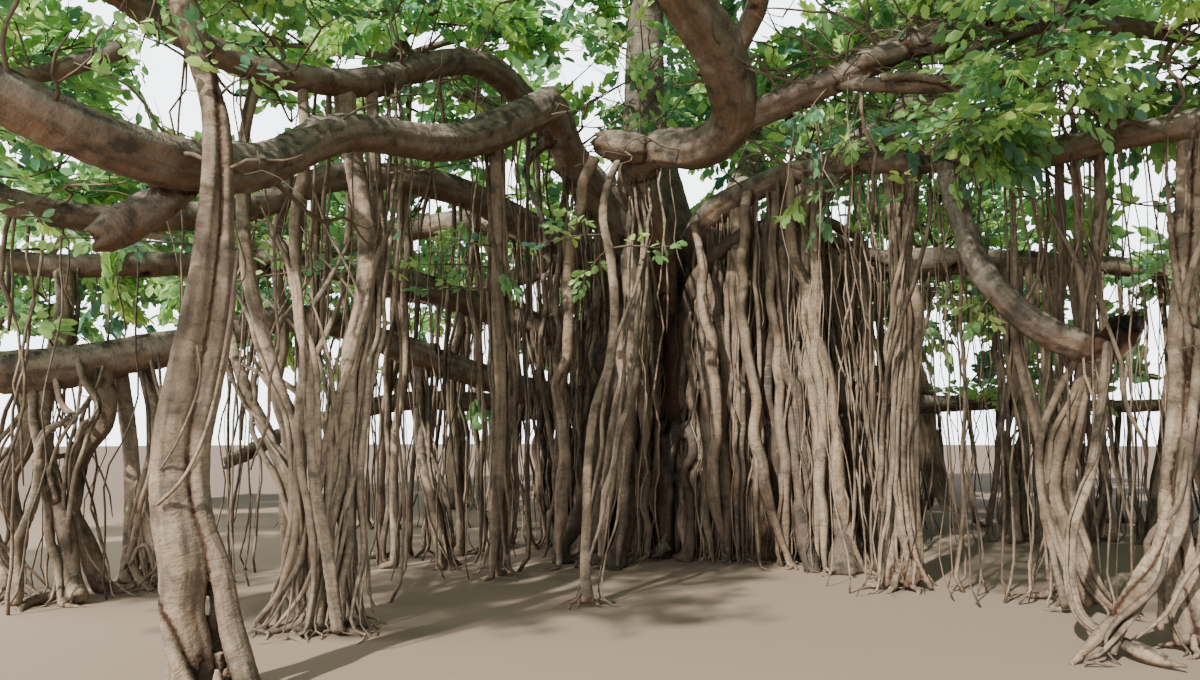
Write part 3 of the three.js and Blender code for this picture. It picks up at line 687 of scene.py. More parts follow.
# %% Where the boughs run
BOUGHS = {
    "leader_left": dict(radius=[0.36, 0.25, 0.22], reach=[0.9, 1.9, 2.9, 3.6], azimuth=[222, 225, 227, 231],
        height=[3.1, 4.1, 4.95, 5.5]),
    "bough_front_left": dict(radius=[0.22, 0.185, 0.17, 0.19, 0.16], reach=[3.55, 5.4, 6.9, 8.3, 9.4, 10.3],
        azimuth=[231, 234, 236, 239, 240, 238], height=[5.5, 4.5, 4.15, 3.4, 3.3, 3.65],
        stub=dict(radius=[0.12, 0.085], reach=[8.55, 9.15], azimuth=[239.5, 238], height=[3.3, 2.75])),
    "bough_upper_left": dict(radius=[0.3, 0.2, 0.17, 0.14, 0.11], reach=[0.8, 2.9, 4.25, 6.4, 7.6, 8.9],
        azimuth=[200, 213, 223, 229, 229, 227], height=[3.9, 5.7, 5.95, 4.95, 4.85, 5.4]),
    "bough_left_high": dict(radius=[0.27, 0.19, 0.15, 0.11], reach=[0.9, 2.8, 4.25, 5.7, 6.9, 8.9, 9.8],
        azimuth=[203, 207, 214, 217, 218, 221, 222], height=[3.6, 4.25, 4.55, 4.4, 3.8, 3.5, 4.1]),
    "bough_left_mid": dict(radius=[0.24, 0.18, 0.15, 0.11], reach=[0.9, 2.7, 4.3, 5.8, 7.4, 8.9, 9.8],
        azimuth=[196, 203, 207, 209, 210, 209, 206], height=[2.8, 2.95, 3.35, 3.5, 3.35, 3.3, 3.9]),
    "bough_left_low": dict(radius=[0.22, 0.175, 0.15, 0.2, 0.13], reach=[0.9, 2.6, 4.3, 6.0, 7.3, 8.5, 9.4,
        10.9], azimuth=[192, 203, 211, 213, 213, 213, 213, 212], height=[1.95, 2.03, 2.4, 2.8, 2.42, 2.15,
        2.1, 2.75]),
    "limb_left_dead": dict(radius=[0.2, 0.15, 0.1], reach=[0.9, 2.4, 4.3, 5.6, 6.7],
        azimuth=[182, 189, 196, 198, 199], height=[1.8, 1.83, 1.95, 1.65, 1.1]),
    "bough_front": dict(radius=[0.3, 0.23, 0.23, 0.27, 0.22], reach=[0.8, 2.0, 2.75, 3.2, 3.6, 4.0, 4.5,
        5.1, 5.6], azimuth=[236, 242, 244, 252, 262, 267, 265, 260, 257],
        height=[3.4, 4.25, 4.68, 4.85, 4.72, 4.9, 5.35, 5.85, 6.5], stub=dict(radius=[0.2, 0.18],
        reach=[3.2, 3.62], azimuth=[252, 242], height=[4.85, 4.88])),
    "bough_front_rise": dict(radius=[0.13, 0.1, 0.1], reach=[4.35, 4.7, 5.4, 6.6, 8.0],
        azimuth=[265.5, 269, 270, 272, 273], height=[5.3, 5.75, 6.2, 6.5, 6.7]),
    "bough_front_right": dict(radius=[0.17, 0.14, 0.11], reach=[3.95, 4.25, 4.65, 5.2, 5.7],
        azimuth=[267, 275, 280, 285, 289], height=[4.85, 5.03, 5.12, 5.25, 5.3],
        stub=dict(radius=[0.09, 0.065], reach=[4.6, 5.2, 6.0], azimuth=[279, 284, 290],
        height=[5.05, 4.85, 4.66])),
    "bough_right_front": dict(radius=[0.26, 0.16, 0.125, 0.12, 0.1],
        reach=[0.8, 1.9, 2.5, 3.2, 4.4, 5.6, 6.6, 7.9], azimuth=[248, 262, 276, 285, 292, 294, 295, 301],
        height=[3.5, 4.25, 4.52, 4.62, 4.4, 4.12, 4.02, 4.1]),
    "limb_broken": dict(radius=[0.1, 0.11, 0.13, 0.15], reach=[4.95, 5.3, 5.65, 5.95, 6.2, 6.35, 6.42],
        azimuth=[291.5, 289.5, 289, 291, 294, 296, 297], height=[4.2, 3.6, 2.95, 2.5, 2.27, 2.3, 2.52]),
    "bough_right_low": dict(radius=[0.2, 0.13, 0.11], reach=[0.9, 3.3, 5.8, 8.3, 10.2],
        azimuth=[8, 15, 18, 14, 9], height=[1.85, 1.95, 2.02, 2.0, 2.7]),
    "bough_right_mid": dict(radius=[0.26, 0.16, 0.12], reach=[0.9, 2.8, 5.6, 7.4, 9.2],
        azimuth=[330, 346, 353, 348, 341], height=[3.6, 3.92, 3.9, 3.6, 4.1]),
    "bough_back_right": dict(radius=[0.3, 0.2, 0.13], reach=[0.8, 3.6, 6.4, 8.8], azimuth=[40, 46, 47, 49],
        height=[3.5, 4.5, 4.1, 4.6]),
    "bough_back": dict(radius=[0.32, 0.2, 0.14], reach=[0.8, 3.6, 6.6, 9.0], azimuth=[84, 92, 90, 88],
        height=[3.6, 4.7, 4.2, 4.6]),
    "bough_back_left": dict(radius=[0.3, 0.2, 0.13], reach=[0.8, 3.6, 6.6, 9.0],
        azimuth=[132, 128, 134, 136], height=[3.5, 4.6, 4.2, 4.6]),
    "bough_left": dict(radius=[0.28, 0.19, 0.12], reach=[0.8, 3.6, 6.6, 9.2], azimuth=[168, 164, 170, 172],
        height=[3.7, 4.9, 4.5, 4.8]),
    "leader_top": dict(radius=[0.5, 0.34, 0.24], reach=[0.6, 0.95, 0.9], azimuth=[190, 178, 172],
        height=[3.9, 6.4, 8.7]),
    "leader_right": dict(radius=[0.34, 0.22, 0.16], reach=[0.7, 1.9, 3.3, 4.3],
        azimuth=[350, 335, 338, 340], height=[3.9, 5.3, 6.3, 7.2]),
    "leader_back": dict(radius=[0.34, 0.24, 0.17], reach=[0.7, 1.8, 3.2, 4.2], azimuth=[62, 66, 68, 70],
        height=[3.9, 5.5, 6.6, 7.4]),
    "leader_left_back": dict(radius=[0.34, 0.24, 0.17], reach=[0.9, 2.0, 3.4, 4.5],
        azimuth=[140, 148, 155, 158], height=[3.9, 5.5, 6.6, 7.5]),
}
BOUGH_STEP = 0.09


def course_line(course, step=BOUGH_STEP):
    places = zip(course["reach"], course["azimuth"], course["height"])
    return smooth_line([plan_point(*p) for p in places], step)


bough_lines = {name: course_line(course) for name, course in BOUGHS.items()}

# %% [markdown]
# # The masses of leaves
# Each mass has its own space, an ellipsoid at the end of one bough. The stem goes on from the
# bough's tip, bends to the middle and carries twigs turned by the golden angle, which is how a
# shoot spaces its leaves. The rule is the solids' own, so both crowns have the same outline.

# %% Spaces of the masses and their stems
TWIG_REACH = 0.64
STEM_SEAM = 0.0003
MASSES = {
    "front_left": ("bough_front_left", (11.0, 237, 5.5), 3.4, 2.3),
    "left_front": ("bough_left_high", (11.4, 221, 5.6), 3.2, 2.2),
    "left_mid": ("bough_left_mid", (10.9, 203, 5.6), 3.4, 2.6),
    "left_low": ("bough_left_low", (12.6, 211, 3.9), 2.3, 1.5),
    "upper_left": ("bough_upper_left", (8.2, 222, 7.7), 3.7, 2.3),
    "left": ("bough_left", (11.2, 174, 5.2), 4.1, 2.8),
    "back_left": ("bough_back_left", (10.9, 135, 5.4), 4.3, 3.0),
    "back": ("bough_back", (11.0, 93, 5.4), 4.3, 3.0),
    "back_right": ("bough_back_right", (11.0, 50, 5.4), 4.3, 3.0),
    "right": ("bough_right_low", (11.6, 9, 4.7), 4.0, 2.6),
    "right_front": ("bough_right_mid", (11.2, 337, 5.2), 4.0, 2.8),
    "front_right": ("bough_right_front", (10.6, 309, 5.2), 4.0, 2.5),
    "front_low": ("bough_front_right", (7.1, 292, 4.9), 2.5, 1.5),
    "front": ("bough_front_rise", (9.9, 275, 7.2), 4.0, 1.9),
    "inner_front": ("bough_front", (5.6, 258, 8.5), 3.8, 2.2),
    "inner_right": ("leader_right", (6.0, 338, 8.2), 4.2, 2.4),
    "inner_back": ("leader_back", (6.0, 66, 8.5), 4.2, 2.5),
    "inner_left": ("leader_left_back", (6.0, 160, 8.6), 4.2, 2.5),
    "top": ("leader_top", (0.4, 180, 10.3), 4.4, 2.3),
}
space_centres = np.array([plan_point(*centre) for _, centre, _, _ in MASSES.values()])
space_sizes = np.array([(side, side, depth) for _, _, side, depth in MASSES.values()])


def stem_line(number, line):
    """The line from a bough's tip to the middle of its space."""
    way = unit(line[-1] - line[-2])
    start = line[-1] + way * STEM_SEAM
    hub = space_centres[number] * 0.88 + start * 0.12
    hub[2] -= 0.12 * space_sizes[number][2]
    bend = start + way * 0.3 * np.linalg.norm(hub - start)
    return smooth_line([start, bend, hub], BOUGH_STEP)


stems = {bough: stem_line(number, bough_lines[bough]) for number, (bough, *_) in enumerate(MASSES.values())}
print(len(bough_lines), "boughs,", len(stems), "masses")

# %% [markdown]
# # Prop roots
# Where a hanging root reaches the ground it thickens into a pillar of two or three stems that
# wind round each other, part, and meet again. The main stems follow the solids' lines. Thinner
# ones wind about them, toes spread over the ground, and fingers grip the bough above.

# %% Where the props stand
PROPS = {
    "prop_middle_left": dict(under="bough_upper_left", at=0.66, foot=(-3.85, -6.2), strands=3, radius=0.11,
        splay=0.34, bow=(0.1, -0.1)),
    "prop_far_left_inner": dict(under="bough_left_low", at=0.715, foot=(-6.45, -4.9), strands=2,
        radius=0.14, splay=0.17, bow=(-0.06, -0.05), turn=0),
    "prop_far_left_elbow": dict(under="bough_left_low", at=0.765, foot=(-7.03, -5.0), strands=2,
        radius=0.095, splay=0.12, bow=(-0.3, 0)),
    "prop_far_left_right": dict(under="bough_left_low", at=0.655, foot=(-6.12, -4.3), strands=2,
        radius=0.12, splay=0.17, bow=(0.12, 0), turn=0),
    "prop_left_thin": dict(under="bough_left_low", at=0.36, foot=(-3.38, -3.0), strands=2, radius=0.075,
        splay=0.12, bow=(-0.08, 0)),
    "prop_left_tall": dict(under="bough_front_left", at=0.17, foot=(-2.75, -3.7), strands=2, radius=0.075,
        splay=0.13, bow=(0.05, 0.1)),
    "prop_front_slender": dict(under="bough_front", at=0.36, foot=(-1.72, -5.2), strands=1, radius=0.075,
        splay=0, bow=(0.06, -0.5)),
    "prop_right": dict(under="bough_right_front", at=0.56, foot=(1.28, -4.42), strands=2, radius=0.12,
        splay=0.22, bow=(0.02, 0.04), turn=0),
    "prop_right_cluster": dict(under="bough_right_front", at=0.73, foot=(2.62, -5.0), strands=3,
        radius=0.095, splay=0.26, bow=(0.14, 0.1)),
    "prop_right_edge": dict(under="bough_right_front", at=0.9, foot=(2.5, -6.95), strands=2, radius=0.115,
        splay=0.36, bow=(0.1, 0), turn=10),
    "prop_back_right_low": dict(under="bough_right_low", at=0.55, foot=(5.6, 2.3), strands=2, radius=0.1,
        splay=0.18, bow=(-0.25, 0)),
    "prop_right_far": dict(under="bough_right_mid", at=0.66, foot=(5.9, -0.9), strands=2, radius=0.12,
        splay=0.22, bow=(0.1, 0.1)),
    "prop_back_right": dict(under="bough_back_right", at=0.68, foot=(4.9, 4.3), strands=2, radius=0.13,
        splay=0.24, bow=(0.1, -0.1)),
    "prop_back": dict(under="bough_back", at=0.68, foot=(-0.2, 6.5), strands=2, radius=0.13, splay=0.24,
        bow=(0.12, 0.1)),
    "prop_back_left": dict(under="bough_back_left", at=0.68, foot=(-4.5, 4.8), strands=2, radius=0.13,
        splay=0.24, bow=(-0.1, 0.1)),
}
STRAND_APART = [0.55, 0.5, 0.95, 0.6, 0.7]
ROOT_STEP = 0.06
THIN_STEP = 0.1


def prop_top(prop):
    return at_share(bough_lines[prop["under"]], prop["at"])


def prop_axis(top, base, bow, t):
    return top + (base - top) * t + np.array([*bow, 0]) * math.sin(math.pi * t)


def toe(point, outward, length, rng):
    """Two stations that carry a root's end out over the ground, with a turn in it."""
    aside = np.array([-outward[1], outward[0], 0]) * rng.uniform(-0.7, 0.7)
    near, far = point + (outward - 0.6 * aside) * length * 0.5, point + (outward + aside) * length
    near[2], far[2] = 0.03, -0.02
    return [near, far]


def prop_strands(name, prop, rng):
    """The main stems and the fingers, and apart from them the thin roots that wind about them."""
    random = seeded(len(name) * 97 + prop["strands"])
    top = prop_top(prop)
    base = np.array([*prop["foot"], 0.0])
    turn = prop["turn"] if "turn" in prop else 360 * random()
    radius, splay, bow = prop["radius"], prop["splay"], prop["bow"]
    strands = []
    for i in range(prop["strands"]):
        outward = plan_point(1, turn + 360 * i / prop["strands"], 0)
        apart = [share * radius for share in STRAND_APART] + [splay]
        stations = [prop_axis(top, base, bow, k / 5) + outward * out for k, out in enumerate(apart)]
        stations += toe(stations[-1], outward, radius * rng.uniform(1.5, 3.2), rng)
        girth = radius * (0.85 + 0.3 * random())
        line = swayed(smooth_line(stations, ROOT_STEP), 0.02, rng)
        strands.append(Strand(line, girth * np.array([1.1, 0.95, 0.95, 1, 1.05, 1.35, 0.95, 0.4]),
                              rng.uniform(0.3, 0.75)))
    thin = []
    for i in range(rng.integers(6, 10)):
        phase, turns = rng.uniform(0, 2 * math.pi), rng.uniform(-0.8, 0.8)
        close, size = radius * rng.uniform(1.1, 2.0), rng.uniform(0.008, 0.026)
        stations = []
        for k in range(9):
            t = k / 8
            angle = phase + turns * 2 * math.pi * t
            outward = np.array([math.cos(angle), math.sin(angle), 0])
            out = close * (1 + 0.25 * math.sin(5 * t + phase)) + 0.7 * splay * max(0, t - 0.78) / 0.22
            stations.append(prop_axis(top, base, bow, t) + outward * out)
        stations[-1][2] = 0.07
        stations += toe(stations[-1], outward, rng.uniform(0.06, 0.22), rng)
        line = wandering(smooth_line(stations, THIN_STEP), 0.035, 0.012, rng, 5)
        thin.append(Strand(line, size * np.array([0.8, 1, 1, 1.05, 1.1, 1.35, 0.8, 0.35]),
                           rng.uniform(0.1, 0.95)))
    bough = bough_lines[prop["under"]]
    way = unit(at_share(bough, min(1, prop["at"] + 0.03)) - at_share(bough, prop["at"] - 0.03))
    for sign in (-1, 1):
        under = top - np.array([0, 0, 3.4 * radius]) + way * sign * 0.03
        tip = top + way * sign * rng.uniform(0.28, 0.5) - np.array([0, 0, radius * 0.35])
        middle = (under + tip) / 2 + way * sign * 0.02 - np.array([0, 0, 0.01])
        strands.append(Strand(smooth_line([under, middle, tip], ROOT_STEP),
                              radius * np.array([0.75, 0.6, 0.35]), 0.5))
    return strands, thin


# %% [markdown]
# The pillars in front show best, so their stems are traced: at each station the place in the
# picture and the distance. Stems lean together, grow into one, and part again near the ground.

# %% The front pillars, traced
TRACED = {
    "prop_front_left": [
    dict(radius=[0.09, 0.09, 0.095, 0.1, 0.1, 0.095, 0.085, 0.07, 0.07, 0.076, 0.09, 0.11, 0.118, 0.14,
        0.12, 0.13], seen=[(95, -28, 7.05), (126, -58, 6.6), (158, -42, 6.1), (181, 0, 5.82),
        (197, 50, 5.74), (210, 100, 5.64), (212, 160, 5.58), (206, 230, 5.54), (197, 300, 5.5),
        (183, 380, 5.45), (172, 450, 5.4), (174, 510, 5.38), (183, 560, 5.36), (181, 612, 5.35),
        (189, 655, 5.34), (184, 705, 5.33)]),
    dict(radius=[0.05, 0.055, 0.05, 0.05, 0.072, 0.075, 0.07, 0.062, 0.062, 0.07, 0.08],
        seen=[(207, 60, 5.72), (223, 130, 5.62), (226, 240, 5.6), (223, 310, 5.56), (209, 390, 5.48),
        (198, 450, 5.42), (203, 520, 5.4), (221, 570, 5.4), (229, 615, 5.4), (240, 660, 5.38),
        (252, 708, 5.36)]),
    dict(radius=[0.05, 0.045, 0.03, 0.03, 0.04, 0.05], seen=[(196, 480, 5.52), (204, 540, 5.5),
        (214, 590, 5.48), (213, 635, 5.47), (222, 672, 5.46), (232, 705, 5.45)]),
    dict(radius=[0.03, 0.04, 0.045, 0.04, 0.02], seen=[(160, 600, 5.3), (170, 640, 5.22), (186, 680, 5.18),
        (204, 706, 5.12), (216, 716, 5.05)])],
    "prop_middle_left": [
    dict(radius=[0.12, 0.1, 0.095, 0.09, 0.085, 0.08, 0.075, 0.065, 0.06, 0.06],
        seen=[(343, 84, 8.65), (346, 120, 8.6), (357, 180, 8.4), (367, 250, 8.17), (361, 311, 7.97),
        (349, 360, 7.8), (347, 410, 7.68), (336, 470, 7.5), (326, 540, 7.3), (316, 628, 7.05)]),
    dict(radius=[0.07, 0.065, 0.065, 0.065, 0.06, 0.055, 0.05, 0.05],
        seen=[(372, 80, 8.9), (376, 180, 8.6), (382, 260, 8.3), (374, 320, 8.1), (358, 385, 7.9),
        (352, 450, 7.7), (346, 530, 7.45), (346, 618, 7.25)]),
    dict(radius=[0.055, 0.055, 0.055, 0.055, 0.055, 0.05, 0.05, 0.05, 0.05, 0.05],
        seen=[(302, 78, 8.25), (305, 160, 8.0), (295, 213, 7.9), (297, 288, 7.7), (301, 333, 7.55),
        (308, 363, 7.45), (311, 425, 7.3), (315, 490, 7.15), (328, 560, 7.05), (338, 632, 6.95)]),
    dict(radius=[0.055, 0.055, 0.055, 0.06, 0.065, 0.06, 0.055, 0.05, 0.045, 0.03],
        seen=[(258, 70, 8.0), (243, 150, 7.85), (246, 255, 7.65), (262, 330, 7.55), (280, 390, 7.45),
        (298, 435, 7.38), (301, 480, 7.3), (297, 545, 7.2), (281, 590, 7.15), (258, 625, 7.1)]),
    dict(radius=[0.045, 0.05, 0.055, 0.06, 0.055, 0.06], seen=[(224, 213, 9.0), (228, 320, 8.6),
        (246, 390, 8.1), (272, 442, 7.7), (292, 500, 7.4), (300, 612, 7.28)])],
    "prop_far_left_inner": [
    dict(radius=[0.1, 0.09, 0.08, 0.075, 0.08, 0.085, 0.08, 0.1], seen=[(45, 362, 8.9), (43, 398, 8.8),
        (41, 421, 8.7), (46, 452, 8.6), (56, 495, 8.5), (67, 538, 8.4), (72, 582, 8.3), (78, 600, 8.2)]),
    dict(radius=[0.12, 0.1, 0.09, 0.085, 0.1, 0.11, 0.09, 0.09, 0.1, 0.09],
        seen=[(108, 350, 9.0), (104, 376, 9.0), (108, 398, 9.0), (104, 426, 9.0), (85, 448, 8.95),
        (72, 478, 8.9), (70, 510, 8.85), (84, 538, 8.8), (94, 566, 8.8), (103, 590, 8.8)]),
    dict(radius=[0.04, 0.04, 0.04, 0.035, 0.03], seen=[(76, 352, 8.8), (84, 380, 8.7), (98, 405, 8.65),
        (90, 428, 8.6), (72, 445, 8.6)]),
    dict(radius=[0.035, 0.035, 0.035, 0.035, 0.035, 0.035, 0.03], seen=[(52, 365, 8.75), (62, 404, 8.65),
        (76, 420, 8.55), (48, 428, 8.45), (39, 441, 8.45), (45, 462, 8.45), (56, 500, 8.4)])],
    "prop_far_left_elbow": [
    dict(radius=[0.05, 0.045, 0.045, 0.045, 0.045, 0.045, 0.05, 0.06],
        seen=[(33, 370, 8.8), (33, 420, 8.6), (39, 452, 8.45), (35, 495, 8.3), (28, 517, 8.2),
        (17, 545, 8.1), (17, 582, 8.05), (14, 606, 8.0)]),
    dict(radius=[0.06, 0.07, 0.095, 0.09, 0.08, 0.075, 0.08], seen=[(24, 372, 8.85), (26, 441, 8.8),
        (8, 478, 8.85), (12, 510, 8.85), (20, 535, 8.85), (9, 560, 8.8), (2, 590, 8.75)])],
    "prop_far_left_right": [
    dict(radius=[0.09, 0.085, 0.08, 0.08, 0.085, 0.09, 0.1], seen=[(117, 355, 9.4), (121, 387, 9.35),
        (128, 430, 9.3), (132, 484, 9.25), (132, 530, 9.2), (130, 560, 9.15), (126, 584, 9.1)]),
    dict(radius=[0.06, 0.065, 0.06, 0.055, 0.055, 0.06, 0.07, 0.08],
        seen=[(138, 352, 9.45), (150, 385, 9.4), (156, 413, 9.3), (152, 455, 9.25), (142, 495, 9.15),
        (146, 520, 9.1), (153, 552, 9.1), (163, 584, 9.1)]),
    dict(radius=[0.03, 0.035, 0.04, 0.05], seen=[(138, 530, 9.1), (130, 555, 9.0), (137, 575, 8.95),
        (152, 590, 8.9)])],
    "prop_front_slender": [
    dict(radius=[0.05, 0.05, 0.048, 0.05, 0.052, 0.055, 0.055, 0.052, 0.05, 0.05, 0.06],
        seen=[(622, 152, 10.35), (608, 185, 10.0), (603, 216, 9.75), (611, 264, 9.4), (614, 311, 9.15),
        (608, 369, 8.9), (595, 407, 8.75), (588, 464, 8.5), (587, 519, 8.35), (585, 567, 8.2),
        (588, 602, 8.1)])],
    "prop_right": [
    dict(radius=[0.09, 0.08, 0.078, 0.08, 0.085, 0.085, 0.085, 0.09, 0.11],
        seen=[(892, 158, 9.65), (904, 184, 9.6), (904, 248, 9.5), (914, 311, 9.4), (911, 375, 9.3),
        (911, 439, 9.2), (911, 503, 9.1), (914, 560, 9.05), (906, 586, 8.95)]),
    dict(radius=[0.06, 0.055, 0.055, 0.055, 0.05, 0.05, 0.05, 0.055, 0.06],
        seen=[(884, 158, 9.65), (888, 184, 9.6), (895, 248, 9.5), (898, 311, 9.42), (895, 360, 9.35),
        (894, 407, 9.3), (898, 487, 9.2), (892, 545, 9.1), (886, 586, 9.0)]),
    dict(radius=[0.03, 0.03, 0.028, 0.03, 0.03, 0.035, 0.03], seen=[(899, 160, 9.6), (899, 230, 9.4),
        (909, 330, 9.28), (903, 430, 9.15), (905, 500, 9.05), (917, 560, 8.95), (932, 590, 8.9)])],
    "prop_right_cluster": [
    dict(radius=[0.03, 0.03, 0.035, 0.04, 0.042, 0.042, 0.045, 0.045, 0.045, 0.05],
        seen=[(1012, 150, 8.4), (1014, 250, 8.3), (1015, 337, 8.2), (1023, 375, 8.2), (1034, 419, 8.15),
        (1043, 455, 8.1), (1047, 486, 8.05), (1056, 520, 8.0), (1065, 549, 7.95), (1078, 602, 7.9)]),
    dict(radius=[0.05, 0.05, 0.055, 0.058, 0.058, 0.058, 0.055, 0.055, 0.055, 0.05, 0.05, 0.055],
        seen=[(1099, 138, 7.8), (1099, 236, 7.8), (1088, 290, 7.85), (1083, 370, 7.9), (1076, 397, 7.95),
        (1065, 430, 8.0), (1056, 464, 8.0), (1056, 497, 7.95), (1065, 524, 7.9), (1070, 553, 7.9),
        (1076, 575, 7.9), (1090, 607, 7.85)]),
    dict(radius=[0.04, 0.04, 0.045, 0.055, 0.06, 0.062, 0.065, 0.065, 0.065, 0.05],
        seen=[(1075, 146, 7.95), (1080, 300, 8.0), (1079, 419, 8.05), (1072, 455, 8.05), (1065, 486, 8.0),
        (1070, 515, 7.95), (1079, 542, 7.9), (1085, 567, 7.85), (1096, 591, 7.8), (1116, 610, 7.75)]),
    dict(radius=[0.045, 0.045, 0.045, 0.04, 0.035, 0.035, 0.035, 0.035, 0.035, 0.035, 0.035, 0.04],
        seen=[(1059, 146, 8.05), (1061, 228, 8.1), (1063, 281, 8.15), (1050, 350, 8.2), (1045, 404, 8.15),
        (1052, 430, 8.1), (1047, 455, 8.05), (1043, 486, 8.0), (1043, 515, 7.95), (1050, 542, 7.9),
        (1056, 571, 7.85), (1066, 608, 7.8)])],
    "prop_right_edge": [
    dict(radius=[0.055, 0.055, 0.055, 0.052, 0.055, 0.06, 0.06, 0.055, 0.055, 0.08],
        seen=[(1184, 126, 7.2), (1182, 241, 7.1), (1175, 330, 7.0), (1177, 375, 6.9), (1175, 419, 6.85),
        (1170, 464, 6.75), (1166, 509, 6.7), (1170, 553, 6.65), (1175, 598, 6.6), (1188, 646, 6.5)]),
    dict(radius=[0.038, 0.038, 0.04, 0.04, 0.04, 0.04, 0.04, 0.04, 0.045, 0.06],
        seen=[(1199, 124, 7.15), (1196, 240, 7.05), (1191, 330, 6.9), (1193, 375, 6.8), (1191, 419, 6.75),
        (1186, 464, 6.7), (1183, 509, 6.65), (1190, 553, 6.6), (1197, 598, 6.55), (1204, 648, 6.45)]),
    dict(radius=[0.04, 0.045, 0.045, 0.05, 0.052, 0.052, 0.052, 0.05, 0.05, 0.045, 0.025],
        seen=[(1199, 330, 6.85), (1197, 385, 6.7), (1188, 437, 6.6), (1183, 486, 6.5), (1181, 520, 6.45),
        (1168, 553, 6.4), (1157, 576, 6.35), (1134, 598, 6.3), (1114, 618, 6.3), (1096, 638, 6.25),
        (1070, 666, 6.15)]),
    dict(radius=[0.03, 0.035, 0.035, 0.04, 0.04, 0.04, 0.035], seen=[(1180, 460, 6.7), (1177, 486, 6.6),
        (1166, 509, 6.5), (1159, 542, 6.45), (1141, 571, 6.4), (1128, 593, 6.35), (1114, 614, 6.3)]),
    dict(radius=[0.04, 0.035, 0.04], seen=[(1136, 598, 6.3), (1121, 631, 6.3), (1110, 654, 6.22)]),
    dict(radius=[0.02, 0.022, 0.026, 0.026, 0.022, 0.024, 0.024, 0.03],
        seen=[(1164, 130, 7.3), (1172, 250, 7.05), (1187, 330, 6.85), (1192, 400, 6.75), (1180, 455, 6.65),
        (1172, 500, 6.55), (1164, 560, 6.55), (1160, 632, 6.5)])],
}
VINES = [
    dict(radius=[0.010, 0.012, 0.011, 0.011, 0.012], seen=[(238, 250, 5.46), (228, 330, 5.38),
        (206, 430, 5.3), (182, 480, 5.22), (157, 505, 5.22)]),
    dict(radius=[0.007, 0.008, 0.007, 0.006], seen=[(197, 345, 5.36), (200, 380, 5.32), (178, 440, 5.24),
        (160, 470, 5.26)]),
]
TOES = {
    "prop_front_left": (0.14, (20, 95, 160, 215, 300)), "prop_far_left_inner": (0.16, (60, 150, 240, 300)),
    "prop_middle_left": (0.13, (10, 60, 110, 150, 205, 250, 320)),
    "prop_right_edge": (0.09, (30, 110, 250, 320)), "prop_far_left_elbow": (0.09, (120, 200, 280)),
    "prop_far_left_right": (0.12, (20, 100, 250, 330)),
    "prop_front_slender": (0.08, (30, 100, 170, 240, 310)), "prop_right": (0.12, (20, 100, 170, 240, 310)),
    "prop_right_cluster": (0.12, (40, 150, 220, 330))}


def traced(stems, rng, pale=0.0):
    return [Strand(smooth_line([seen_at(*place) for place in stem["seen"]], 0.05), stem["radius"],
                   rng.uniform(0.4, 0.65) + pale) for stem in stems]


def woven(stems, count, rng, pale=0.0):
    """Thin roots that climb a pillar and pass from one of its stems to another."""
    roots = []
    steps = np.linspace(0, 1, 14)
    for _ in range(count):
        a, b = rng.choice(len(stems), 2, replace=False)
        start = rng.uniform(0, 0.5)
        t = start + (1 - start) * steps
        first, second = (np.column_stack([np.interp(t, np.linspace(0, 1, len(s.line)), axis)
                                          for axis in s.line.T]) for s in (stems[a], stems[b]))
        share = 0.5 + 0.55 * np.sin(2 * math.pi * (rng.uniform(0.3, 1.1) * t + rng.random()))[:, None]
        line = first * share + second * (1 - share)
        aside = plan_point(rng.uniform(0.05, 0.11), rng.uniform(180, 360), 0)
        line[:, :2] += aside[:2] * steps[:, None] ** 0.4
        line[-1, 2] = 0.04
        outward = plan_point(1, rng.uniform(0, 360), 0)
        stations = list(line) + toe(line[-1], outward, rng.uniform(0.08, 0.25), rng)
        path = crooked(smooth_line(stations, 0.08), 0.014, rng)
        girth = rng.uniform(0.011, 0.034)
        roots.append(Strand(path, girth * np.array([0.3, 0.9, 1, 1, 1.1, 1.3, 0.7, 0.3]),
                            rng.uniform(0.1, 0.95) + pale))
    return roots


def root_toes(foot, turns, size, rng):
    """Roots that run out over the ground round a pillar's foot."""
    strands = []
    centre = np.array([*foot, 0.0])
    for azimuth in turns:
        outward = plan_point(1, azimuth + rng.uniform(-15, 15), 0)
        start = centre + outward * 0.45 * size + np.array([0, 0, rng.uniform(1.1, 1.9) * size])
        bend = centre + outward * rng.uniform(0.9, 1.2) * size + np.array([0, 0, 0.5 * size])
        stations = [start, bend] + toe(bend, outward, rng.uniform(1.4, 3) * size, rng)
        strands.append(Strand(smooth_line(stations, 0.05), np.array([0.15, 0.34, 0.28, 0.12]) * size, 0.5))
    return strands


# %% [markdown]
# Two single roots tie limbs together: one between the middle and low left boughs, and a thin one
# under the broken limb whose foot snakes away over the ground.

# %% The ties
TIES = {
    "prop_between_boughs": dict(radius=[0.1, 0.085, 0.11], reach=[8.35, 8.3, 8.35],
        azimuth=[209.5, 211.5, 212.5], height=[3.3, 2.8, 2.2]),
    "prop_under_break": dict(radius=[0.045, 0.042, 0.042, 0.045, 0.04],
        reach=[6.33, 6.45, 6.6, 6.75, 6.95, 7.5], azimuth=[295.5, 293, 290, 286.5, 285.5, 286.5],
        height=[2.3, 1.8, 1.25, 0.7, 0.2, 0.035]),
}
SNAKES = {"prop_under_break": [dict(radius=[0.038, 0.04, 0.042, 0.05, 0.03, 0.012],
    seen=[(1108, 634, 6.6), (1122, 643, 6.35), (1138, 651, 6.2), (1155, 659, 6.1), (1172, 664, 6.0),
          (1190, 667, 5.9)])]}

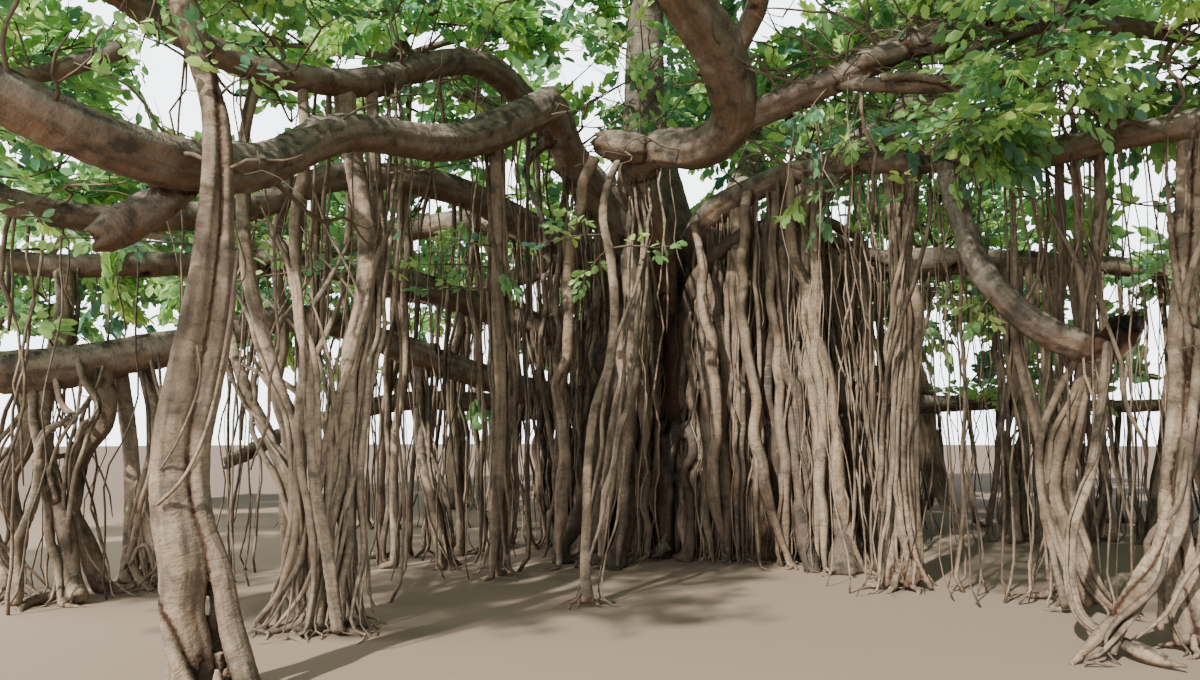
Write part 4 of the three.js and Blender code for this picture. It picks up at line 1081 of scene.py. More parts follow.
# %% Make the props
ROOT_RELIEF = {"swell": 0.14, "sinew": 0.13, "wrinkle": 0.003, "rough": 0.0015}
all_strands = {}
thin_roots = []
PROP_VOXEL = {"prop_front_left": 0.02, "prop_left_thin": 0.032, "prop_left_tall": 0.03}
NEAR_VOXEL, FAR_VOXEL, TIE_VOXEL = 0.027, 0.058, 0.02
FRONT_FOOT = (-3.86, -8.08)
WOVEN = {"prop_middle_left": 24, "prop_right": 6, "prop_right_cluster": 7, "prop_right_edge": 4,
         "prop_far_left_inner": 5, "prop_far_left_elbow": 2, "prop_far_left_right": 4}
# Some pillars' tone is shifted, partly as their own bark and partly as painted light: paler where the sun
# falls on them, darker for the nearest pillar in shade.
TONE_AND_PAINTED_LIGHT = {"prop_middle_left": 0.5, "prop_front_left": -0.2, "prop_right": 0.1,
            "prop_far_left_inner": 0.25, "prop_far_left_elbow": 0.2, "prop_far_left_right": 0.15}
for number, name in enumerate([*PROPS, "prop_front_left"]):
    rng = np.random.default_rng(300 + number)
    foot, strands = FRONT_FOOT, []
    if name in PROPS:
        foot = PROPS[name]["foot"]
        strands, thin = prop_strands(name, PROPS[name], rng)
        thin_roots += thin[:8] if name in TRACED else thin
    if name in TRACED:
        size, turns = TOES[name]
        # The tone shift, partly painted light, goes to the stems and to the woven roots.
        thin_roots += woven(traced(TRACED[name], rng), WOVEN.get(name, 0), rng, TONE_AND_PAINTED_LIGHT.get(name, 0))
        strands = traced(TRACED[name], rng, TONE_AND_PAINTED_LIGHT.get(name, 0)) + root_toes(foot, turns, size, rng)
    all_strands[name] = strands
    voxel = PROP_VOXEL.get(name, NEAR_VOXEL if name in TRACED else FAR_VOXEL)
    limb_piece(name, strands, voxel, ROOT_BARK, "root_bark", ROOT_RELIEF, grounded=True)
thin_roots += traced(VINES, rng)
root_piece("winding_roots", thin_roots, 6)
for number, (name, course) in enumerate(TIES.items()):
    rng = np.random.default_rng(330 + number)
    line = course_line(course, ROOT_STEP)
    strands = [Strand(line, course["radius"], 0.5)] + traced(SNAKES.get(name, ()), rng)
    thin_roots = [Strand(wandering(line + np.append(rng.uniform(-0.07, 0.07, 2), 0), 0.03, 0.01, rng),
                         np.array(course["radius"]) * 0.3, 0.3) for _ in range(2)]
    root_piece(name + "_strings", thin_roots, 5)
    all_strands[name] = strands
    limb_piece(name, strands, TIE_VOXEL, ROOT_BARK, "root_bark", ROOT_RELIEF, grounded=True)
print("props:", sum(n for _, n in pieces_made), "triangles")

# %% [markdown]
# # Bark on the boughs
# Each bough swells where a prop leaves it, and old branch stubs have left ringed scars. Broken
# ends are ragged and hollow. The voxel is smaller where the camera comes close.

# %% Make the boughs
SIDE_LIMBS = {
    "bough_upper_left": [dict(radius=[0.1, 0.09, 0.07, 0.05], seen=[(122, 48, 8.2), (80, 62, 8.0),
        (50, 72, 7.9), (0, 76, 7.7), (-60, 90, 7.5)])],
    "bough_front_right": [dict(radius=[0.11, 0.1, 0.08, 0.05], seen=[(860, 60, 8.3), (912, 48, 8.4),
        (960, 38, 8.5), (1010, 0, 8.6), (1050, -50, 8.8)]), dict(radius=[0.045, 0.04, 0.035, 0.03, 0.02,
        0.012], seen=[(880, 78, 8.3), (925, 76, 8.1), (962, 94, 8.0), (972, 130, 7.95), (990, 165, 7.9),
        (1004, 194, 7.9)])],
    "leader_left": [dict(radius=[0.07, 0.06, 0.055], seen=[(560, 122, 11.0), (542, 143, 10.7),
        (523, 158, 10.4)]), dict(radius=[0.07, 0.068, 0.06, 0.055, 0.05, 0.045, 0.03],
        seen=[(548, 140, 10.9), (526, 168, 10.6), (541, 216, 10.2), (547, 254, 10.0), (544, 279, 9.9),
        (521, 295, 9.85), (499, 305, 9.8)])],
    "bough_front": [dict(radius=[0.16, 0.16, 0.16, 0.17, 0.2], seen=[(640, 160, 10.7), (646, 200, 10.9),
        (657, 235, 11.2), (664, 270, 11.6), (662, 330, 12.3)])],
}
BROKEN_ENDS = {"bough_front_left": [(1, 0.16, 0.9, 0)], "bough_front": [(1, 0.02, 0.7, 0)],
               "limb_broken": [(0, 0.1, 0.9, 0.55)], "bough_front_right": [(1, 0.06, 0.5, 0)],
               "limb_left_dead": [(0, 0.06, 0.5, 0)], "leader_left": [(1, 0.05, 0.4, 0)]}
FINE_BOUGHS = {"bough_front_left": 0.03, "bough_front": 0.035, "limb_broken": 0.02,
               "bough_front_right": 0.03, "bough_right_front": 0.034, "bough_left_low": 0.038,
               "bough_upper_left": 0.042, "bough_left_high": 0.042, "bough_left_mid": 0.045,
               "leader_top": 0.05}
COARSE_VOXEL = 0.076
ROUNDED_STUBS = ("bough_front",)
SCARS = 4
start_of_boughs = len(pieces_made)
for number, (name, course) in enumerate(BOUGHS.items()):
    rng = np.random.default_rng(400 + number)
    line = bough_lines[name]
    radii = evened(course["radius"], len(line))
    if name in stems:
        stem = stems[name]
        line = np.vstack([line, stem[1:]])
        radii = np.append(radii, np.linspace(radii[-1], 0.05, len(stem) - 1))
    main = Strand(line, radii, 0.15 if name == "leader_top" else rng.uniform(0.35, 0.6))
    strands = [main]
    swellings = [(prop_top(prop) - [0, 0, 0.1], 0.3, 0.035) for prop in PROPS.values()
                 if prop["under"] == name]
    if "stub" in course:
        stub, wide = course_line(course["stub"]), course["stub"]["radius"]
        rounding = [0.6 * wide[-1]] if name in ROUNDED_STUBS else []
        strands.append(Strand(stub, [0.65 * wide[0], *wide, *rounding], 0.45))
        swellings.append((stub[-3], 0.16, 0.05))
    strands += traced(SIDE_LIMBS.get(name, ()), rng)
    scars = []
    for _ in range(0 if name == "limb_broken" else SCARS):
        i = rng.integers(len(line) // 8, len(line) - 4)
        turn = rng.uniform(0, 2 * math.pi)
        out = main.side[i] * math.cos(turn) + main.face[i] * math.sin(turn)
        scars.append((main.line[i] + out * main.radius[i], rng.uniform(0.06, 0.1)))
    all_strands[name] = strands
    limb_piece(name, strands, FINE_BOUGHS.get(name, COARSE_VOXEL), BOUGH_BARK, "bark",
               swellings=swellings, scars=scars, broken=BROKEN_ENDS.get(name, ()))
print("boughs:", sum(n for _, n in pieces_made[start_of_boughs:]), "triangles")

# %% [markdown]
# # The trunk
# The trunk is a heart of roots that have grown together, with a curtain of thick roots round it.
# The heart starts as a ring of corners that is extruded upward and resized step by step. The
# curtain's roots are added as bevelled curves, and a remesh fuses all of it into one fluted mass.

# %% The heart, extruded ring by ring
HEART_RADIUS, FORK_HEIGHT, HEART_ROOTS, RIDGE, RIDGE_TWIST = 1.42, 4.3, 10, 0.11, 2.5
HEART_GIRTH = [1.26, 1.04, 1, 0.98, 0.9]
HEART_STEPS, HEART_CORNERS = 24, 120
TRUNK_VOXEL = 0.066
CURTAIN_ROOT = 0.19
CURTAIN_GIRTH = np.array([0.45, 0.45, 0.42, 0.48, 0.62])
CURTAIN = [(227, 2.15, 2.7), (238, 1.9, 3.3), (250, 1.5, 2.5), (275, 1.5, 2.4), (287, 1.75, 3.5),
           (302, 2.0, 3.0), (330, 1.7, 2.4), (8, 1.5, 2.3), (55, 1.5, 2.3), (104, 1.5, 2.3),
           (150, 1.5, 2.3), (192, 1.6, 2.4)]


def extruded_heart():
    deselect()
    girth = evened(HEART_GIRTH, HEART_STEPS + 1) * HEART_RADIUS
    bpy.ops.mesh.primitive_circle_add(vertices=HEART_CORNERS, radius=girth[0], fill_type="NGON")
    heart = bpy.context.object
    bpy.ops.object.mode_set(mode="EDIT")
    bpy.ops.mesh.select_all(action="SELECT")
    step = FORK_HEIGHT / HEART_STEPS
    for before, after in zip(girth[:-1], girth[1:]):
        bpy.ops.mesh.extrude_region_move(TRANSFORM_OT_translate={"value": (0, 0, step)})
        bpy.ops.transform.resize(value=(after / before, after / before, 1))
    bpy.ops.mesh.select_all(action="SELECT")
    bpy.ops.mesh.normals_make_consistent(inside=False)
    bpy.ops.object.mode_set(mode="OBJECT")
    co = read_rows(heart.data.vertices, "co")
    angle, t = np.arctan2(co[:, 1], co[:, 0]), co[:, 2] / FORK_HEIGHT
    ridges = 1 + RIDGE * np.cos(HEART_ROOTS * angle + RIDGE_TWIST * t)
    co[:, :2] *= ridges[:, None]
    move_corners(heart.data, co)
    return heart


def curtain_roots(rng):
    """The solids' thick roots round the heart, each as three that run side by side."""
    random = seeded(11)
    strands = []
    for azimuth, shoulder, reach in CURTAIN:
        girth = CURTAIN_ROOT * (0.85 + 0.35 * random())
        turns = [azimuth + 8 * (random() - 0.5), azimuth, azimuth + 6 * (random() - 0.5), azimuth]
        reaches = [0.78 * HEART_RADIUS, shoulder, 0.5 * (shoulder + reach), reach]
        stations = [plan_point(*p) for p in zip(reaches, turns, [FORK_HEIGHT - 0.3, 3.2, 1.7, -0.12])]
        line = smooth_line(stations, 0.1)
        spread = np.linspace(0.7, 1.4, len(line))[:, None]
        for turn in (-1.2, 0, 1.2):
            aside = plan_point(turn * girth, azimuth + 90, 0) + plan_point(rng.uniform(-0.1, 0.1), azimuth, 0)
            strands.append(Strand(wandering(line + aside * spread, 0.07, 0.04, rng),
                                  girth * rng.uniform(0.8, 1.2) * CURTAIN_GIRTH))
        foot = plan_point(reach, azimuth, 0)
        strands += root_toes(foot[:2], (azimuth - 70, azimuth - 10, azimuth + 60), 0.15, rng)
    return strands


def wing(azimuth, column):
    """The curtain's shoulder or reach in any direction, between its neighbours in the table."""
    table = sorted(CURTAIN)
    table = [table[-1], *table, table[0]]
    turns = np.array([row[0] for row in table])
    turns[0], turns[-1] = turns[0] - 360, turns[-1] + 360
    return np.interp(azimuth % 360, turns, [row[column] for row in table])


# %% [markdown]
# The curtain has to hang from something. Short limbs fan out from the fork between the boughs,
# and roots fall from them and from the boughs' own first metres.

# %% The limbs that the curtain hangs from
SKIRT_ROOTS = 22
FAN_LIMBS = (300, 318, 12, 28, 66, 112, 150, 185)
FRONT_LIMB = [(1.6, 250, 2.7), (2.1, 262, 3.6), (2.45, 276, 4.0), (2.75, 291, 4.1), (2.9, 305, 3.9)]
rng = np.random.default_rng(77)
fan = [Strand(smooth_line([plan_point(*p) for p in FRONT_LIMB], 0.1), [0.17, 0.14, 0.12, 0.1, 0.06])]
for azimuth in FAN_LIMBS:
    stations = [plan_point(0.9, azimuth - 8, 3.3), plan_point(1.6, azimuth, 3.95),
                plan_point(2.2, azimuth + 4, 4.0), plan_point(2.75, azimuth + 8, rng.uniform(3.6, 3.9))]
    fan.append(Strand(smooth_line(stations, 0.1), [0.2, 0.16, 0.12, 0.07]))
holds = np.vstack([s.line for s in fan] + list(bough_lines.values()))
reach_of_hold = np.linalg.norm(holds[:, :2], axis=1)
holds = holds[(reach_of_hold > 1.25) & (reach_of_hold < 3.25) & (holds[:, 2] > 2.9)]
turn_of_hold = np.degrees(np.arctan2(holds[:, 1], holds[:, 0])) % 360

trunk_strands = curtain_roots(rng) + fan
for i in range(SKIRT_ROOTS):
    azimuth = i * 360 / SKIRT_ROOTS + rng.uniform(-5, 5)
    foot = wing(azimuth, 2)
    stations = [plan_point(1.2, azimuth + rng.uniform(-6, 6), rng.uniform(3.6, 4.2)),
                plan_point(rng.uniform(1.45, 1.6), azimuth + rng.uniform(-3, 3), 2.9),
                plan_point(rng.uniform(1.6, 1.9), azimuth + rng.uniform(-3, 3), 1.5),
                plan_point(min(foot * 0.85, 2.1), azimuth, 0.25),
                plan_point(min(foot * 0.9, 2.3), azimuth, -0.1)]
    girth = rng.uniform(0.09, 0.15)
    trunk_strands.append(Strand(swayed(smooth_line(stations, 0.1), 0.04, rng),
                                girth * np.array([0.9, 0.95, 1, 1.15, 1.7])))
heart = extruded_heart()
roots = drawn_limbs("trunk_bark", trunk_strands)
heart.select_set(True)
bpy.context.view_layer.objects.active = roots
bpy.ops.object.join()
trunk = bpy.context.object
fuse(trunk, TRUNK_VOXEL)
co = read_rows(trunk.data.vertices, "co").astype(float)
normal = read_rows(trunk.data.vertex_normals, "vector")
out = 0.03 * noise(co * [3.5, 3.5, 0.6], 11) + 0.018 * noise(co * [9, 9, 1.1], 12)
out += 0.006 * noise(co * 12, 13)
co += normal * out[:, None]
move_corners(trunk.data, co)
# Painted shade: below the fork the trunk is darkened a little all over, more where it lies inside the curtain
# of roots and where its relief sinks.
inward = np.linalg.norm(co[:, :2], axis=1)
turn = np.degrees(np.arctan2(co[:, 1], co[:, 0]))
envelope = wing(turn, 2) + (wing(turn, 1) - wing(turn, 2)) * np.clip(co[:, 2] / 3.2, 0, 1)
shade_inside_curtain = np.clip((envelope * 1.02 - inward) / 0.5, 0.1, 0.85) * (co[:, 2] < 3.9)
finish_limb(trunk, SHADED_HEART_BARK, "bark", ["trunk"], co, 0.5 + 0.4 * noise(co * [2.2, 2.2, 0.25], 14),
            np.clip(shade_inside_curtain - 6 * out, 0, 0.9), True)
print("trunk:", pieces_made[-1][1], "triangles")

# %% [markdown]
# Over the heart hang hundreds of separate roots, from string to wrist thick. They leave the fork
# and the low parts of the boughs, fall almost straight, wander a little, and flare at the ground.

# %% The curtain of separate roots round the trunk
FRONT_ROOTS = [
    dict(radius=[0.075, 0.065, 0.06, 0.06, 0.065, 0.06, 0.065, 0.09],
        seen=[(594, 158, 10.3), (576, 216, 10.3), (569, 264, 10.3), (568, 327, 10.3), (557, 391, 10.3),
        (565, 439, 10.3), (561, 503, 10.3), (560, 566, 10.3)]),
    dict(radius=[0.05, 0.06, 0.065, 0.075, 0.07, 0.075, 0.09], seen=[(694, 225, 10.9), (700, 254, 10.8),
        (706, 311, 10.7), (716, 369, 10.7), (714, 423, 10.7), (714, 487, 10.8), (722, 556, 11.0)]),
    dict(radius=[0.06, 0.065, 0.06, 0.065, 0.06, 0.07, 0.08], seen=[(748, 190, 10.7), (742, 280, 10.6),
        (745, 343, 10.6), (757, 391, 10.6), (754, 439, 10.6), (767, 487, 10.5), (790, 563, 10.45)]),
    dict(radius=[0.06, 0.065, 0.075, 0.07, 0.065, 0.07, 0.09], seen=[(789, 166, 10.4), (794, 248, 10.3),
        (812, 311, 10.25), (828, 369, 10.2), (837, 423, 10.2), (840, 503, 10.1), (866, 569, 10.0)]),
]
CURTAIN_KINDS = (("thick", 84, 0.036, 0.085, 7, 0.02, 0.12), ("middle", 165, 0.018, 0.04, 6, 0.024, 0.15),
                 ("thin", 330, 0.007, 0.016, 4, 0.03, 0.19))
FALLEN_TAPER = np.array([0.9, 0.95, 1, 1, 1.05, 1.1, 1.25, 0.8, 0.3])
GOLDEN_DEGREES = 137.508
FRONT_AZIMUTH = 262
RECESS = (244, 252)


def curtain_ends(azimuth, rng):
    """Where a root of the curtain leaves its limb and where its foot stands."""
    apart = np.abs((turn_of_hold - azimuth + 180) % 360 - 180)
    near = np.flatnonzero(apart < 9)
    if len(near) and rng.random() < 0.66:
        top = holds[rng.choice(near)]
        foot = np.linalg.norm(top[:2]) * rng.uniform(1.0, 1.3)
        foot = np.clip(foot, 1.95, wing(azimuth, 2) * 1.03)
        azimuth = math.degrees(math.atan2(top[1], top[0]))
    else:
        top = plan_point(rng.uniform(1.2, 1.55), azimuth, rng.uniform(3.4, 4.2))
        foot = rng.uniform(1.85, 2.35)
    return top, plan_point(foot, azimuth + rng.uniform(-4, 4), 0.05)


def fallen(top, foot, rng):
    """Stations from the limb almost straight down to the foot, and a toe."""
    lean = rng.uniform(0.7, 1.7)
    share = np.array([0, 0.1, 0.3, 0.5, 0.7, 0.88, 1])[:, None] ** [lean, lean, 1]
    outward = unit(np.append(foot[:2], 0.0))
    return list(top + (foot - top) * share) + toe(foot, outward, rng.uniform(0.05, 0.25), rng)


for kind, (size, count, thin, thick, sides, crook, step) in enumerate(CURTAIN_KINDS):
    rng = np.random.default_rng(600 + kind)
    strands = []
    for stem in FRONT_ROOTS if kind == 0 else ():
        stations = [seen_at(*place) for place in stem["seen"]]
        stations += toe(stations[-1], unit(np.append(stations[-1][:2], 0.0)), 0.25, rng)
        strands.append(Strand(crooked(smooth_line(stations, 0.08), 0.02, rng), stem["radius"] + [0.05, 0.02],
                              rng.uniform(0.5, 0.9)))
    for i in range(count):
        azimuth = (i * GOLDEN_DEGREES + rng.uniform(-6, 6)) % 360
        if i % 2 == 0:
            azimuth = FRONT_AZIMUTH + rng.uniform(-55, 55)
        if kind == 0 and RECESS[0] < azimuth < RECESS[1]:
            azimuth += 10
        line = smooth_line(fallen(*curtain_ends(azimuth, rng), rng), step)
        line = wandering(line, 0.05, crook, rng, 4)
        strands.append(Strand(line, rng.uniform(thin, thick) * FALLEN_TAPER, rng.uniform(0, 1)))
    root_piece("trunk_roots_" + size, strands, sides)

# %% [markdown]
# # Hanging roots
# All along the boughs thin roots hang like strings. Some have reached the ground and pulled
# tight, others end in the air. They are so fine that a few sides are enough.

# %% Roots under the boughs
HANGING = {
    "bough_front_left": (14, 0.05, 0.75), "bough_upper_left": (22, 0.15, 0.9),
    "bough_left_high": (30, 0.1, 0.9), "bough_left_mid": (30, 0.08, 0.9), "bough_left_low": (20, 0.08, 0.8),
    "bough_front": (12, 0.15, 0.5), "bough_right_front": (90, 0.1, 0.95), "bough_front_right": (8, 0.1, 0.9),
    "bough_right_mid": (80, 0.1, 0.95), "bough_right_low": (40, 0.1, 0.9), "bough_back_right": (50, 0.1, 0.9),
    "bough_back": (40, 0.1, 0.9), "bough_back_left": (40, 0.1, 0.9), "bough_left": (44, 0.1, 0.9),
    "leader_left": (8, 0.3, 0.9), "leader_right": (8, 0.2, 0.7), "leader_back": (8, 0.2, 0.7),
    "leader_left_back": (8, 0.2, 0.7),
}
STEMS = {
    "bough_right_mid": (30, 0.36, 0.7), "bough_left_mid": (12, 0.15, 0.6),
    "bough_left_high": (8, 0.3, 0.75), "bough_back_right": (8, 0.2, 0.6), "bough_right_low": (10, 0.2, 0.8),
    "bough_back_left": (8, 0.2, 0.6), "bough_back": (8, 0.2, 0.6), "bough_left": (8, 0.3, 0.8),
}
CAMERA_CLEARANCE = 2.6
STRING_GIRTHS, GIRTH_SHARES, STOUT_GIRTH = (0.006, 0.009, 0.013, 0.022), (0.3, 0.34, 0.26, 0.1), (0.025, 0.06)
strands = []
rng = np.random.default_rng(700)
rows = [(name, stout, *row) for stout, table in ((False, HANGING), (True, STEMS))
        for name, row in table.items()]
for name, stout, count, first, last in rows:
    for i in range(count):
        top = at_share(bough_lines[name], rng.uniform(first, last)).copy()
        top[:2] += rng.uniform(-0.1, 0.1, 2)
        if np.linalg.norm(top[:2] - EYE[:2]) < CAMERA_CLEARANCE:
            continue
        grounded = stout or rng.random() < 0.6
        low = 0.05 if grounded else top[2] * rng.uniform(0.2, 0.75)
        drift = rng.normal(0, 0.12, 2)
        stations = [top + np.append(drift * t * t, (low - top[2]) * t) for t in (0, 0.3, 0.6, 0.85, 1)]
        girth = rng.choice(STRING_GIRTHS, p=GIRTH_SHARES)
        girth = rng.uniform(*STOUT_GIRTH) if stout else girth
        if grounded:
            outward = plan_point(1, rng.uniform(0, 360), 0)
            stations += toe(stations[-1], outward, rng.uniform(0.01, 0.06) + girth * 2.5, rng)
        step = 0.09 if np.linalg.norm(top - EYE) < 8 else 0.21
        line = wandering(smooth_line(stations, step), 0.06, 0.022, rng, 5, 0.45)
        strands.append(Strand(line, girth * np.array([1.3, 1, 1, 1, 1, 1.1, 1.3 if grounded else 0.5]),
                              rng.uniform(0.1, 0.9)))
root_piece("hanging_roots", strands, 4)

# %% [markdown]
# # Twigs and leaves
# Inside each space the rule goes on: five twigs from the stem, shoots that alternate along each
# twig, finer shoots along those, and sprays of leaves. What would leave the space, come nearer to
# another mass or touch a limb is left out, so light falls between the masses.

# %% What is free, and short tubes for twigs
SPACE_MARGIN = 0.04
limb_samples = np.vstack([s.line[::2] for strands in all_strands.values() for s in strands])
limb_radii = np.concatenate([s.radius[::2] for strands in all_strands.values() for s in strands])
limb_tree = kdtree.KDTree(len(limb_samples))
for i, point in enumerate(limb_samples):
    limb_tree.insert(point, i)
limb_tree.balance()
LIMB_CLEARANCE = 0.05
VIEW_CLEARANCE = 3.4


def free(number, points, touch=True):
    """True for each point that is inside its own space, off the limbs and off the lens."""
    depth = np.linalg.norm((points[:, None] - space_centres) / space_sizes, axis=2)
    own = depth[:, number].copy()
    depth[:, number] = 9
    good = (own < 1) & (depth.min(1) > own + SPACE_MARGIN)
    good &= ((points > BOX_LOW) & (points < BOX_HIGH)).all(1)
    good &= np.linalg.norm(points - EYE, axis=1) > VIEW_CLEARANCE
    if touch:
        for i in np.flatnonzero(good):
            _, found, far = limb_tree.find(points[i])
            good[i] = far > limb_radii[found] + LIMB_CLEARANCE
    return good


def twig_tubes(starts, bends, ends, wide, narrow, sides, rings=3):
    """Bent, tapering twigs, all with the same girths, sides and rings."""
    count = len(starts)
    t = np.linspace(0, 1, rings)[None, :, None]
    line = (1 - t) ** 2 * starts[:, None] + 2 * t * (1 - t) * bends[:, None] + t**2 * ends[:, None]
    way = unit(ends - starts)
    across = unit(np.cross(way, np.where(np.abs(way[:, 2:]) > 0.9, [[1.0, 0, 0]], [[0, 0, 1.0]])))
    other = np.cross(way, across)
    radius = np.broadcast_to(wide + (narrow - wide) * t[0, :, 0], (count, rings))
    angle = np.arange(sides) / sides * 2 * math.pi
    ring = np.cos(angle)[:, None] * across[:, None] + np.sin(angle)[:, None] * other[:, None]
    corners = line[:, :, None] + radius[..., None, None] * ring[:, None]
    j = np.arange(sides)
    k = (j + 1) % sides
    quads = np.concatenate([np.stack([j, k, k + sides, j + sides], 1) + r * sides for r in range(rings - 1)])
    first = (np.arange(count) * rings * sides)[:, None, None]
    last = (rings - 1) * sides
    fans = np.array([[last, last + i, last + i + 1] for i in range(1, sides - 1)]
                    + [[0, i + 1, i] for i in range(1, sides - 1)])
    faces = [(part[None] + first).reshape(-1, part.shape[1]) for part in (quads, fans)]
    grain = ring_of(angle, radius, np.linalg.norm(line - line[:, :1], axis=2))
    grain += (np.arange(count) % 97)[:, None, None, None] * np.array([1.7, 0.9, 2.3])
    return corners.reshape(-1, 3), faces, grain.reshape(-1, 3)


def twig_piece(name, parts):
    """Several sets of twigs as one piece."""
    grain = np.vstack([p[2] for p in parts])
    shift = np.concatenate([[0], np.cumsum([len(p[0]) for p in parts])[:-1]])
    faces = [f + s for p, s in zip(parts, shift) for f in p[1]]
    settle(mesh_piece(name + "_twigs", np.vstack([p[0] for p in parts]), faces, [TWIG_BARK], grain=grain,
                      tone=0.5 + 0.3 * np.sin(grain[:, 0])), "bark")


# %% [markdown]
# A banyan leaf is a leathery oval with a blunt tip, folded a little along its midrib and about a
# hand long. Four triangles draw it: they share its base, two corners make each side, and the fold
# runs from base to tip. Eight of them alternate along each spray, with their faces mostly to the sky.

# %% Leaves from arrays
LEAF_LENGTH, LEAF_TILT = 0.2, 0.7
LEAF_SHAPE = np.array([[0, 0, 0], [0.3, 0.29, 0.07], [0.74, 0.24, 0.03], [1.0, 0, -0.07],
                       [0.74, -0.24, 0.03], [0.3, -0.29, 0.07]])
LEAF_FACES = np.array([[0, 2, 1], [0, 3, 2], [0, 4, 3], [0, 5, 4]])
LEAVES_ON_SPRAY, STALK = 8, 0.03
LEAF_SCALE, SMALL_LEAF, LARGE_LEAF = 0.074, 0.58, 1.18


def leaf_arrays(roots, ways, spray_of, rng, scale=1):
    """One leaf at each root, pointing its way, with its face turned up and a little at random."""
    count = len(roots)
    up = np.array([0, 0, 1.0]) + rng.normal(0, LEAF_TILT, (count, 3))
    across = unit(np.cross(up, ways))
    face = np.cross(ways, across)
    size = np.clip(np.linalg.norm(roots - EYE, axis=1) * LEAF_SCALE, SMALL_LEAF, LARGE_LEAF)
    length = (LEAF_LENGTH * scale * size * rng.uniform(0.7, 1.2, count))[:, None, None]
    shape = LEAF_SHAPE[None] * length
    corners = (roots[:, None] + shape[..., :1] * ways[:, None] + shape[..., 1:2] * across[:, None]
               + shape[..., 2:] * face[:, None])
    faces = (LEAF_FACES[None] + (np.arange(count) * len(LEAF_SHAPE))[:, None, None]).reshape(-1, 3)
    looks = np.repeat(spray_of, len(LEAF_FACES))
    return corners.reshape(-1, 3), faces, looks


def rotated(ways, yaw, pitch):
    """Directions turned about the vertical and then tipped up or down."""
    c, s = np.cos(yaw), np.sin(yaw)
    turned = np.stack([ways[:, 0] * c - ways[:, 1] * s, ways[:, 0] * s + ways[:, 1] * c, ways[:, 2]], 1)
    turned[:, 2] += pitch
    return unit(turned)


END_TURN = 0.35


def shoots(lines, ways, places, lengths, yaw, pitch, rng):
    """Side shoots that alternate along each parent: their roots, directions and lengths."""
    starts, outs, longs = [], [], []
    a, b, c = lines
    for k, place in enumerate(places):
        starts.append((1 - place) ** 2 * a + 2 * place * (1 - place) * b + place**2 * c)
        sign = 1 if k % 2 else -1
        turn = sign * rng.uniform(*yaw, len(a)) * (END_TURN if place == 1 else 1)
        outs.append(rotated(ways, turn, rng.uniform(*pitch, len(a))))
        longs.append(rng.uniform(*lengths, len(a)) * (1.1 - 0.35 * place))
    return np.vstack(starts), np.vstack(outs), np.concatenate(longs)


def bent(starts, ways, lengths, rise):
    ends = starts + ways * lengths[:, None]
    bends = (starts + ends) / 2
    bends[:, 2] += rise * lengths
    return starts, bends, ends


def sprays_of_leaves(starts, ways, lengths, rng, scale=1):
    """Leaves along each spray, alternating, and one green for the whole spray."""
    count = len(starts)
    k = np.arange(LEAVES_ON_SPRAY)
    along = 0.22 + 0.78 * k / (LEAVES_ON_SPRAY - 1)
    roots = starts[:, None] + ways[:, None] * (lengths[:, None] * along)[..., None]
    turn = np.where(k % 2, 1, -1) * (1.25 - 0.6 * along) + rng.normal(0, 0.3, (count, LEAVES_ON_SPRAY))
    pitch = rng.normal(-0.12, 0.35, (count, LEAVES_ON_SPRAY))
    flat = np.repeat(ways, LEAVES_ON_SPRAY, 0)
    out = rotated(flat, turn.ravel(), pitch.ravel())
    green = rng.choice(len(LEAF_LOOKS), count, p=GREEN_SHARES)
    return leaf_arrays(roots.reshape(-1, 3) + out * STALK, out, np.repeat(green, LEAVES_ON_SPRAY), rng, scale)


def leaf_piece(name, sprays, rng, nodes=(), scale=1):
    corners, faces, looks = sprays_of_leaves(*sprays, rng, scale)
    settle(mesh_piece(name + "_leaves", corners, [faces], LEAF_LOOKS, looks), "leaf", *nodes)
    print(name, len(sprays[0]), "sprays", pieces_made[-2:], flush=True)


# %% Grow the masses
TWIGS = 5
USUAL_SIDE, SHORTER, NEARLY_ALL = 4, 0.68, 0.95
GROWTH = (
    dict(places=(0.25, 0.37, 0.49, 0.61, 0.73, 0.84, 0.93, 1.0), lengths=(1.5, 2.5), grows=True, tries=2,
         turns=((0.5, 1.5), (-0.35, 0.45)), probes=(NEARLY_ALL, 0.5), past=0, rise=0.07,
         tube=(0.03, 0.012, 4)),
    dict(places=(0.2, 0.32, 0.44, 0.56, 0.68, 0.8, 0.9, 1.0), lengths=(0.45, 0.85), grows=True, tries=0,
         turns=((0.5, 1.3), (-0.45, 0.5)), probes=(1,), past=0, rise=0.05, tube=(0.01, 0.005, 3)),
    dict(places=(0.3, 0.48, 0.66, 0.83, 1.0), lengths=(0.3, 0.52), grows=False, tries=0,
         turns=((0.4, 1.3), (-0.4, 0.4)), probes=(1,), past=LEAF_LENGTH, rise=0.02,
         tube=(0.0045, 0.002, 3, 2)))


def mass_twigs(number, stem):
    """The source's five twigs of a mass, as starts, bends and ends."""
    i = np.arange(TWIGS)
    height = 0.85 - 1.7 * (i + 0.5) / TWIGS
    angle = i * GOLDEN_ANGLE + number
    flat = np.sqrt(1 - height**2)
    outward = np.stack([flat * np.cos(angle), flat * np.sin(angle), height], 1)
    ends = space_centres[number] + outward * space_sizes[number] * TWIG_REACH
    starts = np.array([at_share(stem, 0.55 + 0.43 * ((k * 0.618) % 1)) for k in i])
    bends = (starts + ends) / 2
    bends[:, 2] += 0.1 * space_sizes[number][2]
    return starts, bends, ends


